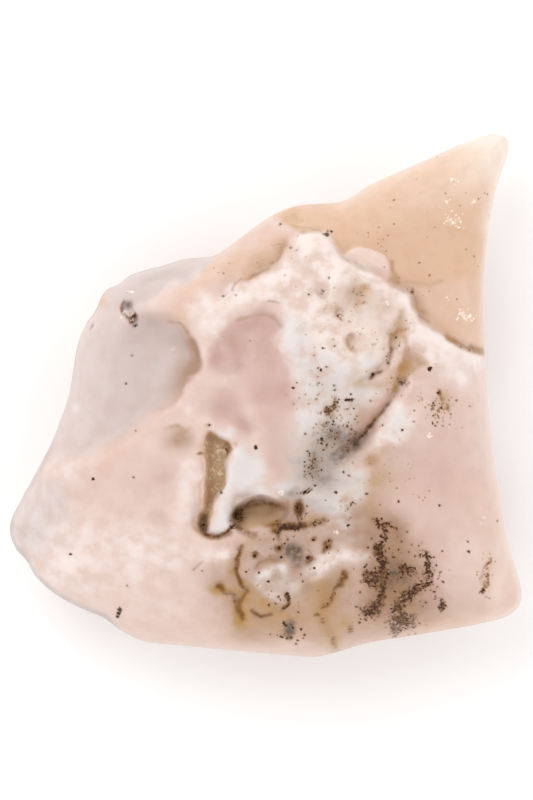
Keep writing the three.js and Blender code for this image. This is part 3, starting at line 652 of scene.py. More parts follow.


# What each kind of opal or stain covers, with the painted shade and painted light that some kinds also carry,
# in the order in which the colours lie over each other.
MARKS = {
    "sand": [
        area(CREST + [(18, 2.8), (19, 20), (2, 20), (0.2, 12.9)], 0.6, 0.9),
        stroke([(-2.2, 8.6), (-1.2, 9.3), (0.0, 9.9), (1.0, 10.6)], 0.8, 0.6),
        blot(-1.0, 10.6, 3.0, 1.1, 38, 0.35),
        stroke([(-5.9, 5.9), (-4.9, 7.4), (-3.8, 9.0)], 0.9, 0.5),
        blot(-11.5, 6.7, 0.4, 1.0, -30, 0.9),
        blot(11.9, 6.2, 3.0, 1.0, -45, 0.6),
        blot(13.6, 5.2, 1.6, 2.0, 0, 0.3),
        blot(9.2, 11.4, 2.6, 2.4, 0, 0.3),
        blot(12.9, 12.4, 1.8, 2.4, -20, 0.5),
        stroke([(-6.4, 0.4), (-8.2, -1.9), (-9.8, -3.6), (-11.5, -5.4)], 1.2, 0.28),
        edging((12.0, 19.0), (-19.0, -5.0), 2.0, 0.35),
        edging((-14.4, -12.4), (0.2, 5.0), 0.12, 0.9),
        edging((-12.4, -10.4), (5.6, 7.8), 0.4, 0.6),
        blot(9.8, -13.6, 3.6, 3.4, 0, 0.35),
        blot(2.0, -16.2, 7.0, 1.8, 2, 0.6),
        blot(12.6, -6.4, 2.6, 4.4, 0, 0.3),
        blot(8.0, -6.6, 2.2, 2.2, 0, 0.3),
        blot(11.5, -16.0, 5.0, 1.2, 10, 0.4),
    ],
    "shell": [
        area(LEDGE_BLOCK, 0.2, 1.0),
        area(
            [(9.2, 7.9), (11.5, 7.6), (13.8, 8.2), (14.8, 6.0), (14.4, 3.6), (12.2, 4.9), (10.9, 6.0)],
            1.4, 0.35,
        ),
    ],
    # Pale cream patches, and painted light in bands along the upper right and right rim, where the side turns
    # away.
    "cream_and_rim_light": [
        blot(16.0, 17.2, 3.2, 1.7, 50, 0.8),
        edging((4.0, 19.0), (10.5, 20.0), 0.9, 0.4),
        edging((13.0, 19.0), (-17.0, 19.0), 0.4, 0.4),
        blot(11.5, 14.2, 4.5, 2.0, 25, 0.3),
        blot(16.2, -12.6, 0.9, 3.0, 0, 0.4),
        blot(14.0, -15.0, 2.6, 0.8, 8, 0.3),
    ],
    # Grey translucent patches, and painted shade in thin lines along the rim, where the surface turns away.
    "grey_and_rim_shade": [
        edging((-19.0, -9.0), (-17.0, 4.5), 0.4, 0.6),
        edging((-12.5, 19.0), (-19.0, -13.0), 0.1, 0.3),
        blot(-16.6, -9.2, 1.0, 1.8, 0, 0.35),
        blot(-7.6, 8.2, 2.8, 0.7, 18, 0.4),
        edging((-14.0, -2.5), (4.0, 10.5), 0.14, 0.7),
        blot(-15.4, -7.6, 1.3, 2.0, 15, 0.3),
        blot(-17.0, -9.6, 1.2, 1.6, 0, 0.3),
    ],
    "lilac": [
        area(
            [(-12.6, 4.9), (-11.5, 6.3), (-10.9, 7.1), (-10.3, 7.7), (-9.2, 6.9), (-8.2, 6.1), (-7.2, 5.4),
             (-6.2, 4.6), (-5.5, 3.4), (-5.4, 2.2), (-6.1, 1.0), (-7.3, -0.5), (-8.5, -1.8), (-10.0, -3.0),
             (-12.0, -4.0), (-14.8, -4.4), (-15.4, -2.0), (-14.2, 0.5), (-13.6, 3.0)],
            1.7, 0.7,
        ),
        blot(-9.4, 2.2, 3.8, 3.2, 0, 0.6),
        area(
            [(-11.0, 7.4), (-9.6, 8.3), (-7.2, 9.05), (-5.5, 9.5), (-3.8, 9.65), (-4.6, 8.6), (-6.5, 7.6),
             (-8.8, 6.4), (-10.5, 6.3)],
            0.9, 1.0,
        ),
        blot(-15.2, -7.8, 1.5, 2.2, 10, 0.9),
        blot(-16.2, -9.0, 2.0, 3.4, 0, 0.45),
    ],
    "wash_and_shade": [
        area(
            [(-3.4, -11.0), (-2.6, -9.9), (0.5, -9.2), (3.0, -8.8), (5.0, -7.6), (7.2, -8.0), (9.0, -8.4),
             (11.4, -10.2), (12.6, -12.6), (12.0, -15.4), (9.0, -17.0), (5.2, -18.0), (1.0, -17.6),
             (-2.6, -16.8), (-4.2, -14.0)],
            2.6, 0.45,
        ),
        # Painted shade on the steep right wall of the scoop, fading inwards from its edge.
        bank(
            SCOOP_EDGE, BEYOND_SCOOP, 2.3, 0.85,
            lambda x, y: smooth((x + 9.6) / 3) * smooth((5.8 - y) / 2.2)
            * mix(0.4, 1, smooth((y + 0.8) / 2.6)),
        ),
        blot(-6.1, -3.05, 1.15, 0.95, 0, 0.4),
        stroke([(-4.5, -7.6), (-4.8, -8.8)], 0.45, 0.4),
        blot(5.4, -15.6, 5.0, 2.0, 8, 0.15),
        blot(4.4, -13.6, 1.4, 1.6, 0, 0.4),
        blot(0.6, -11.6, 3.4, 2.2, 0, 0.15),
        blot(3.0, -9.4, 2.4, 1.2, 0, 0.3),
        blot(1.7, -8.3, 1.3, 0.9, 0, 0.6),
        blot(0.2, -9.3, 1.7, 0.6, 0, 0.2),
        blot(8.9, -9.5, 1.4, 1.2, 0, 0.7),
        blot(4.8, -7.0, 1.8, 1.2, 20, 0.2),
        blot(6.6, -9.4, 1.8, 1.6, 0, 0.3),
        blot(7.6, -1.6, 1.0, 1.6, -40, 0.3),
        blot(9.2, -13.2, 2.4, 2.8, 0, 0.75),
        blot(-0.5, -13.8, 2.6, 2.6, 0, 0.3),
        blot(8.0, -5.6, 2.4, 2.2, 20, 0.4),
        blot(7.4, -9.0, 1.6, 1.4, 0, 0.3),
        blot(13.0, -15.0, 3.0, 1.2, 10, 0.4),
        blot(6.2, 0.6, 1.6, 1.0, 0, 0.45),
        blot(12.9, 12.6, 1.4, 2.2, -20, 0.14),
        blot(8.4, 10.6, 1.0, 1.4, 0, 0.12),
        blot(9.2, 2.6, 1.8, 2.4, -20, 0.15),
        blot(6.2, 5.8, 2.4, 1.8, 0, 0.22),
        blot(5.2, -1.4, 1.6, 1.4, 0, 0.3),
        blot(12.2, -5.6, 3.0, 4.4, 0, 0.15),
        blot(-4.6, -12.2, 2.0, 1.6, 0, 0.25),
        blot(-8.0, -14.6, 3.0, 1.4, 0, 0.1),
        blot(-4.0, -17.0, 4.0, 0.9, -4, 0.12),
        blot(-4.9, -8.6, 0.9, 1.4, 0, 0.25),
    ],
    "milk": [
        blot(-13.6, -10.8, 4.6, 3.4, -20, 0.45),
        blot(-8.4, -10.6, 3.0, 3.0, 0, 0.35),
        blot(-14.4, -5.4, 2.2, 1.0, 10, 0.3),
        blot(-11.6, -2.6, 3.4, 1.4, 25, 0.12),
        blot(-3.5, 5.2, 1.0, 1.2, 0, 0.6),
        stroke([(-8.6, 6.1), (-6.8, 7.3), (-4.9, 8.6)], 0.35, 0.25),
        area(
            [(-2.6, 7.9), (-1.6, 7.6), (-0.2, 8.5), (1.0, 9.3), (2.2, 10.6), (3.8, 10.9), (5.0, 9.6),
             (7.0, 8.3),
             (9.0, 7.4), (10.0, 6.3), (10.3, 5.0), (12.0, 3.8), (14.8, 2.4), (13.5, 1.0), (11.0, 3.4),
             (9.4, 4.6), (8.6, 2.0), (6.8, -0.6), (4.6, 0.4), (2.2, 4.8), (0.4, 6.4), (-1.6, 5.9),
             (-3.2, 6.4)],
            1.4, 0.65,
        ),
        blot(7.2, 4.0, 0.8, 0.6, 0, 0.9),
        blot(9.2, 3.4, 0.3, 0.7, 0, 0.6),
        blot(9.9, 4.0, 0.3, 0.3, 0, 0.7),
        blot(8.0, 2.9, 0.5, 0.5, 0, 0.6),
        blot(5.4, 7.4, 0.3, 0.6, 0, 0.5),
        blot(7.9, 0.9, 0.6, 0.4, 20, 0.6),
        blot(6.7, 2.0, 0.9, 0.5, 0, 0.9),
        blot(6.0, -0.1, 1.1, 0.5, 10, 0.9),
        stroke([(9.9, 6.0), (10.1, 5.4), (10.1, 4.9)], 0.3, 0.9),
        stroke(
            [(2.4, 11.1), (3.4, 10.8), (4.4, 9.9), (5.2, 9.2), (6.6, 8.4), (7.9, 7.75), (9.2, 7.0),
             (9.9, 6.4), (10.1, 5.5), (10.9, 4.7), (12.0, 3.9), (13.2, 3.05), (14.9, 2.4)],
            0.45, 1.0,
        ),
        stroke([(5.2, 8.75), (4.8, 7.7), (4.5, 6.9)], 0.4, 0.7),
        stroke([(7.07, 7.7), (6.9, 6.65), (6.7, 5.25)], 0.35, 0.7),
        blot(-0.1, 7.5, 2.0, 0.8, 10, 0.8),
        blot(-3.4, 4.6, 1.0, 0.8, 0, 0.7),
        blot(-3.6, 6.2, 1.0, 1.0, 0, 0.6),
        blot(-4.2, 3.6, 0.5, 0.8, 0, 0.4),
        blot(-5.0, 6.4, 0.7, 1.2, -30, 0.3),
        blot(-5.2, -5.4, 0.6, 1.3, 0, 0.6),
        blot(-5.4, -7.7, 0.9, 1.6, 0, 0.5),
        blot(-6.8, -11.2, 2.0, 1.0, 0, 0.25),
        blot(3.8, -12.0, 0.9, 0.5, 30, 0.8),
        blot(4.6, -11.5, 0.7, 0.6, 20, 0.6),
        blot(5.6, -11.2, 1.0, 0.5, 10, 0.5),
        blot(6.6, -10.9, 0.8, 0.5, 0, 0.4),
        blot(-3.0, -10.5, 0.8, 0.4, 0, 0.7),
        blot(-3.8, -10.9, 1.0, 0.6, 0, 0.3),
        blot(12.6, 1.6, 2.2, 1.4, -20, 0.4),
        blot(4.2, -11.2, 1.2, 0.5, 25, 0.5),
        blot(-7.0, -15.4, 2.4, 0.8, 0, 0.25),
        blot(-14.0, -12.6, 1.6, 1.4, 0, 0.3),
        blot(-2.2, 0.9, 1.3, 0.7, 30, 0.4),
        blot(-5.6, -1.0, 0.5, 0.7, 0, 0.5),
        blot(9.2, -1.6, 0.9, 1.2, -25, 0.9),
        blot(8.6, -3.0, 0.8, 0.8, 0, 0.7),
        stroke([(9.5, -0.2), (8.9, -1.2), (8.3, -2.1), (7.9, -3.0)], 0.4, 0.6),
        blot(6.0, -5.8, 1.3, 0.8, 20, 0.7),
        blot(-2.2, 6.3, 1.0, 0.5, 20, 0.6),
        stroke([(1.3, 4.4), (0.75, 3.7), (1.3, 3.1)], 0.2, 0.5),
        stroke([(-1.2, 4.1), (-1.0, 3.2), (-0.6, 2.5)], 0.22, 0.3),
        stroke([(-2.9, 4.0), (-2.7, 3.2), (-3.0, 2.4)], 0.2, 0.25),
        blot(3.8, -13.0, 0.7, 0.5, 30, 0.5),
    ],
    "frost": [
        stroke([(-2.0, -4.3), (-2.3, -5.6), (-2.6, -6.6), (-3.0, -7.8), (-3.3, -9.2)], 0.5, 1.0),
        area(
            [(-2.2, -4.0), (-1.0, -4.2), (-0.2, -5.6), (1.6, -5.4), (1.9, -2.0), (1.7, 1.0), (1.5, 3.0),
             (1.4, 5.2), (2.6, 5.0), (3.4, 3.0), (5.8, 2.4), (7.4, 2.6), (7.6, 0.8), (6.4, -0.8), (5.2, -3.0),
             (6.0, -5.0), (7.0, -6.4), (5.6, -8.4), (3.4, -8.2), (1.2, -6.7), (-1.4, -6.6), (-2.2, -6.0)],
            2.0, 0.75,
        ),
        blot(-1.6, -5.4, 0.9, 1.4, -10, 0.9),
        blot(4.8, -6.9, 1.8, 0.8, 20, 0.8),
        blot(9.0, -2.0, 0.9, 1.6, -25, 0.9),
        blot(2.0, 4.2, 0.6, 1.2, 0, 0.5),
        blot(-0.2, -12.5, 1.0, 0.35, 10, 0.5),
        blot(1.2, -12.4, 0.9, 0.35, -20, 0.5),
        blot(0.3, -13.9, 0.9, 0.35, 0, 0.6),
        blot(0.6, -13.0, 1.1, 0.7, 0, 0.3),
        blot(-0.8, -13.3, 0.4, 0.5, 0, 0.4),
        blot(-3.0, -2.6, 0.6, 0.5, -30, 1.0),
        stroke([(-3.1, -6.8), (-3.4, -7.6), (-3.7, -8.6), (-3.8, -9.3)], 0.3, 0.9),
        blot(-13.5, -5.6, 2.0, 1.0, 20, 0.25),
        blot(-16.6, -9.0, 1.3, 2.2, 0, 0.5),
        blot(-13.4, -1.0, 0.4, 0.5, 0, 0.6),
        blot(5.6, -8.4, 1.6, 0.6, 30, 0.5),
        blot(2.2, -13.3, 0.8, 0.9, 0, 0.4),
        blot(1.42, -15.35, 0.25, 0.22, 0, 0.9),
        blot(8.4, 0.9, 0.8, 0.7, 0, 0.4),
        blot(5.8, -9.6, 0.9, 0.8, 0, 0.4),
        blot(3.4, -11.0, 0.9, 0.6, 0, 0.4),
    ],
    "haze_and_shade": [
        blot(4.0, -4.0, 1.7, 2.4, -20, 0.6),
        blot(3.2, -5.6, 1.4, 1.6, 0, 0.4),
        blot(1.6, -4.4, 1.4, 2.6, 0, 0.2),
        blot(3.9, -8.2, 1.8, 1.0, 0, 0.35),
        blot(1.7, -8.2, 1.2, 0.9, 0, 0.5),
        blot(2.1, -6.9, 1.2, 0.5, 10, 0.4),
        blot(-1.6, -7.2, 0.9, 0.4, 40, 0.3),
        blot(5.8, -3.4, 1.8, 1.0, 42, 0.6),
        blot(5.2, -5.8, 1.8, 1.2, 0, 0.25),
        blot(2.2, -11.3, 1.3, 1.2, 0, 0.45),
        blot(0.4, -10.4, 2.2, 0.8, 0, 0.15),
        blot(8.8, -12.4, 1.6, 2.2, 0, 0.5),
        blot(4.6, 0.4, 2.0, 1.6, 0, 0.25),
        blot(3.2, 2.0, 1.2, 2.0, 0, 0.15),
        blot(1.0, -16.4, 1.2, 0.8, 0, 0.3),
        blot(7.6, -15.0, 1.6, 1.0, 0, 0.3),
        blot(-9.6, 6.4, 1.8, 0.8, 10, 0.2),
        blot(-7.2, 8.2, 2.6, 0.7, 18, 0.35),
        blot(5.2, -6.4, 1.6, 0.8, 0, 0.15),
        # Painted shade in a band round the brow of the hollow.
        stroke([(-2.5, -7.7), (-1.9, -7.0), (-0.7, -6.75), (0.4, -6.85), (1.2, -7.1)], 0.3, 0.4),
        blot(-16.4, -9.4, 1.2, 1.8, 0, 0.2),
        blot(7.0, -0.4, 1.2, 1.6, -40, 0.25),
    ],
    "blush_and_shade": [
        area(
            [(-4.2, 2.6), (-3.6, 3.6), (-2.4, 4.8), (-1.0, 5.4), (0.5, 5.4), (1.1, 4.6), (0.9, 3.4),
             (1.6, 2.3),
             (1.6, 0.8), (1.2, -0.8), (-0.2, -0.6), (-1.2, 0.6), (-2.4, 0.9), (-3.6, 1.6)],
            1.4, 0.5,
        ),
        blot(-3.5, 2.9, 0.8, 0.8, 0, 0.5),
        stroke([(-1.6, 4.6), (-0.4, 5.0), (0.6, 4.6)], 0.6, 0.4),
        blot(-0.2, 3.4, 1.0, 0.9, 20, 0.35),
        blot(-1.7, 2.6, 0.4, 1.0, 10, 0.4),
        stroke([(-2.6, 4.2), (-1.9, 3.2), (-1.8, 2.2)], 0.3, 0.3),
        stroke([(0.2, 4.4), (-0.4, 3.3), (-0.3, 2.5)], 0.3, 0.3),
        stroke([(0.9, 3.2), (1.4, 2.4), (1.4, 1.4)], 0.25, 0.35),
        blot(0.5, 2.4, 0.6, 0.7, 0, 0.3),
        stroke([(0.9, 0.2), (0.8, -2.0), (0.6, -5.0)], 1.1, 0.42),
        # Painted shade below the upper edge of the arc under the dimple, darkest at the top.
        stroke([(-3.7, -1.2), (-2.8, -1.4), (-2.0, -1.8), (-1.2, -2.5)], 0.7, 0.5),
        blot(-2.4, -0.4, 1.8, 1.1, 0, 0.42),
        blot(-1.6, -2.2, 0.8, 0.7, -40, 0.6),
        blot(-2.4, -0.2, 1.8, 0.9, 0, 0.35),
        blot(12.0, -5.4, 3.0, 4.4, 0, 0.42),
        blot(11.6, -13.0, 1.6, 1.6, 0, 0.45),
        blot(13.4, -1.0, 1.8, 2.4, 0, 0.15),
        blot(-7.7, -8.7, 0.8, 0.7, 0, 0.45),
        blot(-7.0, -5.6, 1.6, 1.2, 0, 0.45),
        blot(-8.6, -6.6, 2.4, 2.2, 0, 0.2),
        blot(8.6, -7.8, 0.9, 0.9, 0, 0.2),
        blot(10.6, 11.0, 2.6, 1.6, 0, 0.12),
    ],
    "straw": [
        stroke(VEIN, 0.5, 0.6),
        stroke(VEIN_BRANCH, 0.5, 0.6),
        blot(-1.0, -14.4, 1.8, 1.4, 0, 0.3),
        blot(3.4, -14.6, 2.6, 2.2, 0, 0.2),
        stroke([(-2.6, -14.6), (-2.0, -15.3), (-1.6, -15.7)], 0.4, 0.4),
        blot(0.2, -14.8, 1.4, 0.6, -8, 0.6),
        blot(0.2, -15.7, 2.2, 0.7, 0, 0.3),
        stroke(LONG_STROKE, 0.7, 0.5),
        stroke([(4.2, -15.6), (4.5, -16.6), (4.8, -17.7)], 0.5, 0.6),
        blot(3.4, -13.6, 1.2, 1.0, 0, 0.35),
        blot(5.7, -15.9, 0.8, 0.9, 0, 0.4),
        blot(-3.4, -13.3, 0.7, 0.6, 0, 0.5),
        blot(0.3, -11.9, 1.0, 0.35, 25, 0.4),
        blot(1.2, -13.4, 1.1, 0.6, 0, 0.1),
        blot(1.42, -15.33, 0.4, 0.4, 0, 0.6),
        area(
            [(3.6, 7.8), (5.4, 8.0), (7.4, 7.4), (9.3, 6.2), (10.0, 4.6), (11.2, 3.0), (10.8, 1.4),
             (9.0, 0.6),
             (7.4, 0.8), (6.8, 2.6), (5.2, 3.2), (4.4, 5.0)],
            1.2, 0.26,
        ),
        blot(6.2, 6.8, 0.9, 0.9, 0, 0.3),
        blot(9.2, 4.6, 0.5, 1.4, -20, 0.4),
        area(
            [(9.5, 3.1), (10.5, 2.9), (11.5, 2.35), (10.8, 1.8), (10.1, 1.3), (9.4, 0.7), (9.1, 1.4),
             (9.3, 2.2)],
            0.6, 0.5,
        ),
        stroke([(6.5, 4.2), (5.9, 3.9), (5.9, 3.3), (6.3, 3.0)], 0.3, 0.3),
        blot(6.3, 7.2, 0.8, 0.35, 0, 0.35),
        blot(6.4, 6.4, 0.35, 0.7, 0, 0.3),
        blot(9.3, 5.0, 0.4, 0.9, 0, 0.5),
        blot(4.9, 6.0, 0.5, 0.5, 0, 0.3),
        blot(1.5, -15.8, 5.0, 2.0, 0, 0.22),
        blot(8.2, 6.2, 0.8, 0.7, 0, 0.25),
        stroke([(9.9, 2.4), (8.9, 1.7), (7.4, 1.2), (6.2, 0.6)], 0.5, 0.5),
        stroke([(9.2, 0.6), (8.4, -0.6), (7.4, -1.9)], 0.5, 0.3),
        blot(12.1, -0.4, 1.3, 1.3, 0, 0.5),
        blot(12.1, -0.1, 0.5, 0.7, 0, 0.4),
        blot(4.5, -0.9, 1.0, 1.0, 0, 0.45),
        blot(6.3, -1.2, 0.7, 1.0, 0, 0.35),
        blot(7.3, -4.5, 0.9, 0.8, 0, 0.6),
        blot(8.4, -3.8, 0.5, 0.5, 0, 0.5),
        blot(7.8, -6.4, 2.0, 1.5, 20, 0.45),
        blot(7.3, -8.4, 0.9, 1.0, 0, 0.4),
        blot(5.6, -7.4, 0.6, 0.5, 0, 0.5),
        blot(5.2, -8.7, 0.7, 0.4, 0, 0.4),
        blot(9.4, -11.2, 1.4, 1.6, 0, 0.45),
        blot(9.6, -14.4, 1.2, 0.9, 0, 0.4),
        blot(15.5, -12.5, 0.9, 1.5, -20, 0.45),
        blot(3.4, -8.95, 0.9, 0.45, 10, 0.6),
        blot(-0.6, -10.0, 1.6, 0.5, 0, 0.4),
        stroke([(2.0, 12.9), (1.4, 12.5), (2.2, 11.9), (3.4, 11.5)], 0.4, 0.5),
        blot(-4.3, -2.9, 0.35, 0.9, 0, 0.5),
        blot(-11.6, 6.6, 0.4, 0.6, 30, 0.4),
    ],
    "tan_and_shade": [
        # Painted shade on the steep right wall of the scoop, fading inwards from its edge.
        bank(
            SCOOP_EDGE, BEYOND_SCOOP, 0.9, 0.45,
            lambda x, y: smooth((x + 8.6) / 3) * smooth((5.4 - y) / 2) * mix(0.3, 1, smooth((y + 0.6) / 2.6)),
        ),
        stroke([(-6.6, 5.1), (-6.0, 4.85), (-5.5, 4.4)], 0.16, 0.45),
        edging((-14.4, -12.4), (0.0, 5.0), 0.14, 0.6),
        blot(-6.1, -3.05, 1.15, 0.95, 0, 0.6),
        stroke([(-6.95, -2.35), (-6.2, -2.2), (-5.4, -2.35)], 0.15, 0.4),
        # Painted shade below the edge of the flank, on the side that falls away.
        bank(FLANK_EDGE, BEYOND_FLANK, 0.9, 0.7,
             lambda x, y: smooth((x + 2.4) / 1.2) * smooth((1.9 - x) / 0.8)),
        blot(-0.7, 9.5, 1.4, 0.5, 35, 0.35),
        # Painted shadow at the foot of the crest step, on the lower horn side.
        bank(CREST, BEYOND_HORN, 0.9, 0.5, lambda x, y: smooth((x - 3.6) / 2)),
        # Painted shadow cast by the right edge of the ledge block.
        stroke([(8.85, 9.3), (8.85, 8.5), (9.2, 7.9)], 0.25, 0.5),
        # Painted shadow at the foot of the crest along its lowest stretch and beside its bend.
        stroke([(12.7, 3.95), (13.5, 3.45), (14.5, 3.15), (15.1, 3.05)], 0.28, 0.8),
        blot(10.9, 6.1, 0.9, 0.6, -50, 0.4),
        stroke([(9.2, 8.0), (10.6, 7.75), (11.5, 7.7), (12.4, 7.9)], 0.22, 0.25),
        stroke([(5.7, 7.5), (6.3, 7.3), (7.0, 7.45)], 0.3, 0.25),
        stroke([(6.5, 7.2), (6.4, 6.6), (6.4, 6.0)], 0.25, 0.25),
        blot(3.9, 7.15, 0.6, 0.35, 0, 0.4),
        blot(4.9, 5.6, 0.5, 0.35, 0, 0.35),
        stroke([(6.2, 4.2), (5.8, 3.9), (5.85, 3.4), (6.2, 3.1)], 0.26, 0.5),
        stroke([(9.4, 5.9), (9.2, 5.2), (9.3, 4.6)], 0.2, 0.35),
        stroke([(9.9, 4.6), (9.3, 4.3), (8.8, 3.6), (8.7, 3.0), (8.45, 2.3)], 0.22, 0.5),
        stroke([(10.3, 4.4), (9.8, 3.8), (9.9, 3.2), (9.5, 2.6), (9.2, 1.9)], 0.2, 0.3),
        stroke([(5.0, 5.3), (4.7, 5.6), (4.9, 6.0), (5.3, 6.1)], 0.12, 0.3),
        stroke([(4.2, 6.9), (3.7, 6.9), (3.4, 7.3)], 0.14, 0.3),
        stroke([(7.8, 6.9), (8.2, 6.2), (7.9, 5.6)], 0.14, 0.25),
        area(
            [(9.5, 3.1), (10.5, 2.9), (11.5, 2.35), (10.8, 1.8), (10.1, 1.3), (9.4, 0.7), (9.1, 1.4),
             (9.3, 2.2)],
            0.5, 0.42,
        ),
        stroke([(8.4, 2.0), (7.4, 1.4), (6.6, 1.1)], 0.2, 0.45),
        stroke([(9.0, 0.4), (8.2, -0.7), (7.3, -1.8), (6.6, -2.7)], 0.4, 0.3),
        blot(6.7, -1.6, 1.2, 0.8, 50, 0.4),
        blot(7.3, -4.5, 0.7, 0.5, 0, 0.5),
        blot(8.9, -9.5, 1.0, 0.9, 0, 0.3),
        blot(5.6, -7.4, 0.4, 0.3, 0, 0.4),
        stroke([(-4.5, -3.4), (-4.5, -5.0), (-4.5, -6.6), (-4.5, -7.4), (-4.7, -8.8)], 0.3, 0.25),
        blot(-4.7, -9.2, 0.5, 0.6, 0, 0.4),
        # Painted shade along the brow of the dimple.
        stroke([(-2.0, 5.1), (-1.2, 5.45), (-0.3, 5.6), (0.6, 5.35), (1.1, 4.8)], 0.2, 0.4),
        stroke(LUMP_BROW, 0.28, 0.5),
        blot(-0.9, -9.9, 1.2, 0.4, 0, 0.3),
        blot(0.2, -8.85, 1.3, 0.4, 0, 0.9),
        blot(-1.9, -13.9, 0.7, 1.5, 0, 0.35),
        blot(3.3, -15.4, 1.8, 1.0, 0, 0.25),
        blot(4.2, -14.0, 1.0, 1.0, 0, 0.35),
        blot(1.3, -16.7, 1.2, 0.6, 0, 0.4),
        blot(3.4, -10.6, 1.8, 1.0, 0, 0.15),
        blot(5.4, -9.9, 1.2, 1.2, 0, 0.3),
        blot(8.7, -12.9, 2.0, 2.8, 0, 0.6),
        blot(7.3, -14.6, 1.0, 1.4, 0, 0.35),
        blot(7.6, -9.0, 0.5, 1.0, 30, 0.3),
        blot(12.0, 0.05, 0.35, 0.5, 0, 0.5),
        stroke([(-4.8, -9.4), (-4.2, -9.8), (-3.4, -9.9), (-2.4, -9.8)], 0.25, 0.6),
        blot(1.4, -7.7, 0.5, 0.5, 0, 0.7),
        blot(2.3, -7.9, 0.5, 0.7, 0, 0.45),
        blot(1.9, -9.2, 1.3, 0.4, 0, 0.45),
        blot(0.4, -11.3, 1.4, 0.5, 0, 0.1),
        blot(-2.1, -3.4, 0.35, 0.2, 30, 0.5),
    ],
    "clay": [
        area(SLOT, 0.2, 1.0),
        stroke([(-4.3, -3.4), (-4.35, -4.5), (-4.45, -6.0), (-4.5, -7.2), (-4.6, -8.4)], 0.2, 0.5),
        area(
            [(-2.3, -8.9), (-2.0, -8.1), (-1.4, -7.6), (-0.8, -7.35), (-0.2, -7.3), (0.4, -7.45), (0.9, -7.6),
             (1.2, -8.0), (1.0, -8.5), (0.4, -8.9), (-0.5, -9.15), (-1.5, -9.4)],
            0.8, 0.95,
        ),
    ],
    "ochre_and_shade": [
        stroke(VEIN, 0.2, 0.6),
        stroke([(-2.1, -11.0), (-2.2, -11.6), (-2.2, -12.3), (-1.75, -13.0)], 0.18, 0.6),
        stroke(VEIN_BRANCH, 0.2, 0.5),
        blot(-3.15, -13.4, 0.32, 0.28, 0, 0.8),
        stroke([(-0.9, -15.2), (-0.3, -15.5), (0.4, -15.4)], 0.2, 0.65),
        stroke(LUMP_BROW, 0.14, 0.3),
        stroke([(1.5, -13.95), (1.62, -14.35), (1.5, -14.7), (1.2, -14.95)], 0.16, 0.9),
        stroke(LONG_STROKE, 0.18, 0.6),
        stroke([(5.45, -12.5), (5.2, -13.2)], 0.25, 0.7),
        blot(0.9, -10.6, 0.32, 0.36, 0, 1.0),
        blot(-0.75, -11.25, 0.4, 0.3, 0, 1.0),
        blot(2.93, -11.35, 0.36, 0.32, 0, 1.0),
        blot(3.3, -10.12, 0.24, 0.2, 0, 0.9),
        blot(4.3, -10.45, 0.36, 0.52, -20, 1.0),
        blot(5.88, -16.38, 0.22, 0.34, 0, 1.0),
        stroke([(4.6, -16.85), (4.6, -17.2), (4.95, -17.7)], 0.14, 0.7),
        stroke([(2.7, -9.1), (3.4, -9.0), (4.05, -8.75)], 0.35, 0.6),
        blot(4.35, -1.2, 0.6, 0.4, -30, 0.7),
        blot(4.9, -0.6, 0.3, 0.55, 0, 0.7),
        stroke([(8.5, -0.6), (7.9, -1.4), (7.4, -2.1), (6.9, -2.8)], 0.2, 0.6),
        stroke([(9.5, 0.8), (9.0, 0.1), (8.5, -0.6)], 0.16, 0.25),
        stroke([(8.8, 3.2), (8.65, 2.7), (8.5, 2.2)], 0.14, 0.4),
        stroke([(13.2, 3.6), (13.7, 3.35), (14.5, 3.12)], 0.12, 0.3),
        stroke([(10.2, 7.0), (10.8, 5.9), (11.4, 5.2)], 0.2, 0.3),
        stroke([(8.9, 4.1), (9.45, 4.4), (9.9, 4.6)], 0.14, 0.25),
        stroke([(8.0, 1.9), (7.4, 1.45), (7.2, 1.2)], 0.13, 0.5),
        stroke([(9.2, 3.8), (8.8, 3.0), (8.0, 2.2), (7.2, 1.5)], 0.3, 0.25),
        blot(9.6, 0.9, 0.35, 0.14, 0, 0.5),
        blot(12.0, 0.1, 0.18, 0.28, 0, 0.9),
        spots(81, 12.0, -0.8, 1.3, 1.2, 26, 0.1, 0.7),
        spots(82, 15.4, -12.6, 0.35, 1.4, 16, 0.09, 0.7),
        stroke([(3.55, -15.35), (3.9, -15.3)], 0.12, 0.7),
        stroke([(4.05, -15.6), (4.15, -15.9)], 0.1, 0.7),
        stroke([(-5.0, -12.2), (-4.7, -11.8), (-4.4, -11.6)], 0.1, 0.5),
        blot(-3.95, -2.15, 0.25, 0.2, 0, 0.5),
        blot(-4.4, -4.05, 0.35, 0.14, 0, 0.7),
        stroke([(15.7, -11.4), (15.4, -11.9)], 0.09, 0.6),
        stroke([(15.6, -12.5), (15.5, -13.3), (15.0, -13.7)], 0.1, 0.6),
        blot(3.9, 7.2, 0.22, 0.14, 0, 0.5),
        blot(2.3, -7.9, 0.46, 0.68, 0, 0.8),
        stroke([(-2.2, -9.2), (-1.6, -9.5), (-0.9, -9.8)], 0.35, 0.6),
        # Painted shadow under the roof of the hollow, along its upper edge and at its left end.
        stroke([(-1.2, -7.7), (-0.3, -7.55), (0.5, -7.7), (1.1, -8.0)], 0.3, 0.5),
        stroke([(-2.1, -8.6), (-1.8, -8.0)], 0.3, 0.5),
        stroke([(0.7, -9.3), (1.4, -9.15), (2.0, -9.0), (2.6, -8.9)], 0.3, 0.8),
        stroke(PRONG_FOOT, 0.2, 0.7),
        blot(0.3, -8.9, 1.0, 0.3, 0, 0.3),
        stroke([(1.0, -9.3), (0.95, -9.9)], 0.2, 0.5),
        blot(-2.75, -3.7, 0.26, 0.45, 0, 0.9),
        stroke([(2.6, -10.6), (2.9, -10.9)], 0.1, 0.5),
        stroke([(-12.3, 4.6), (-12.1, 4.95)], 0.12, 0.6),
        stroke([(-9.4, 5.35), (-9.2, 5.8)], 0.22, 0.7),
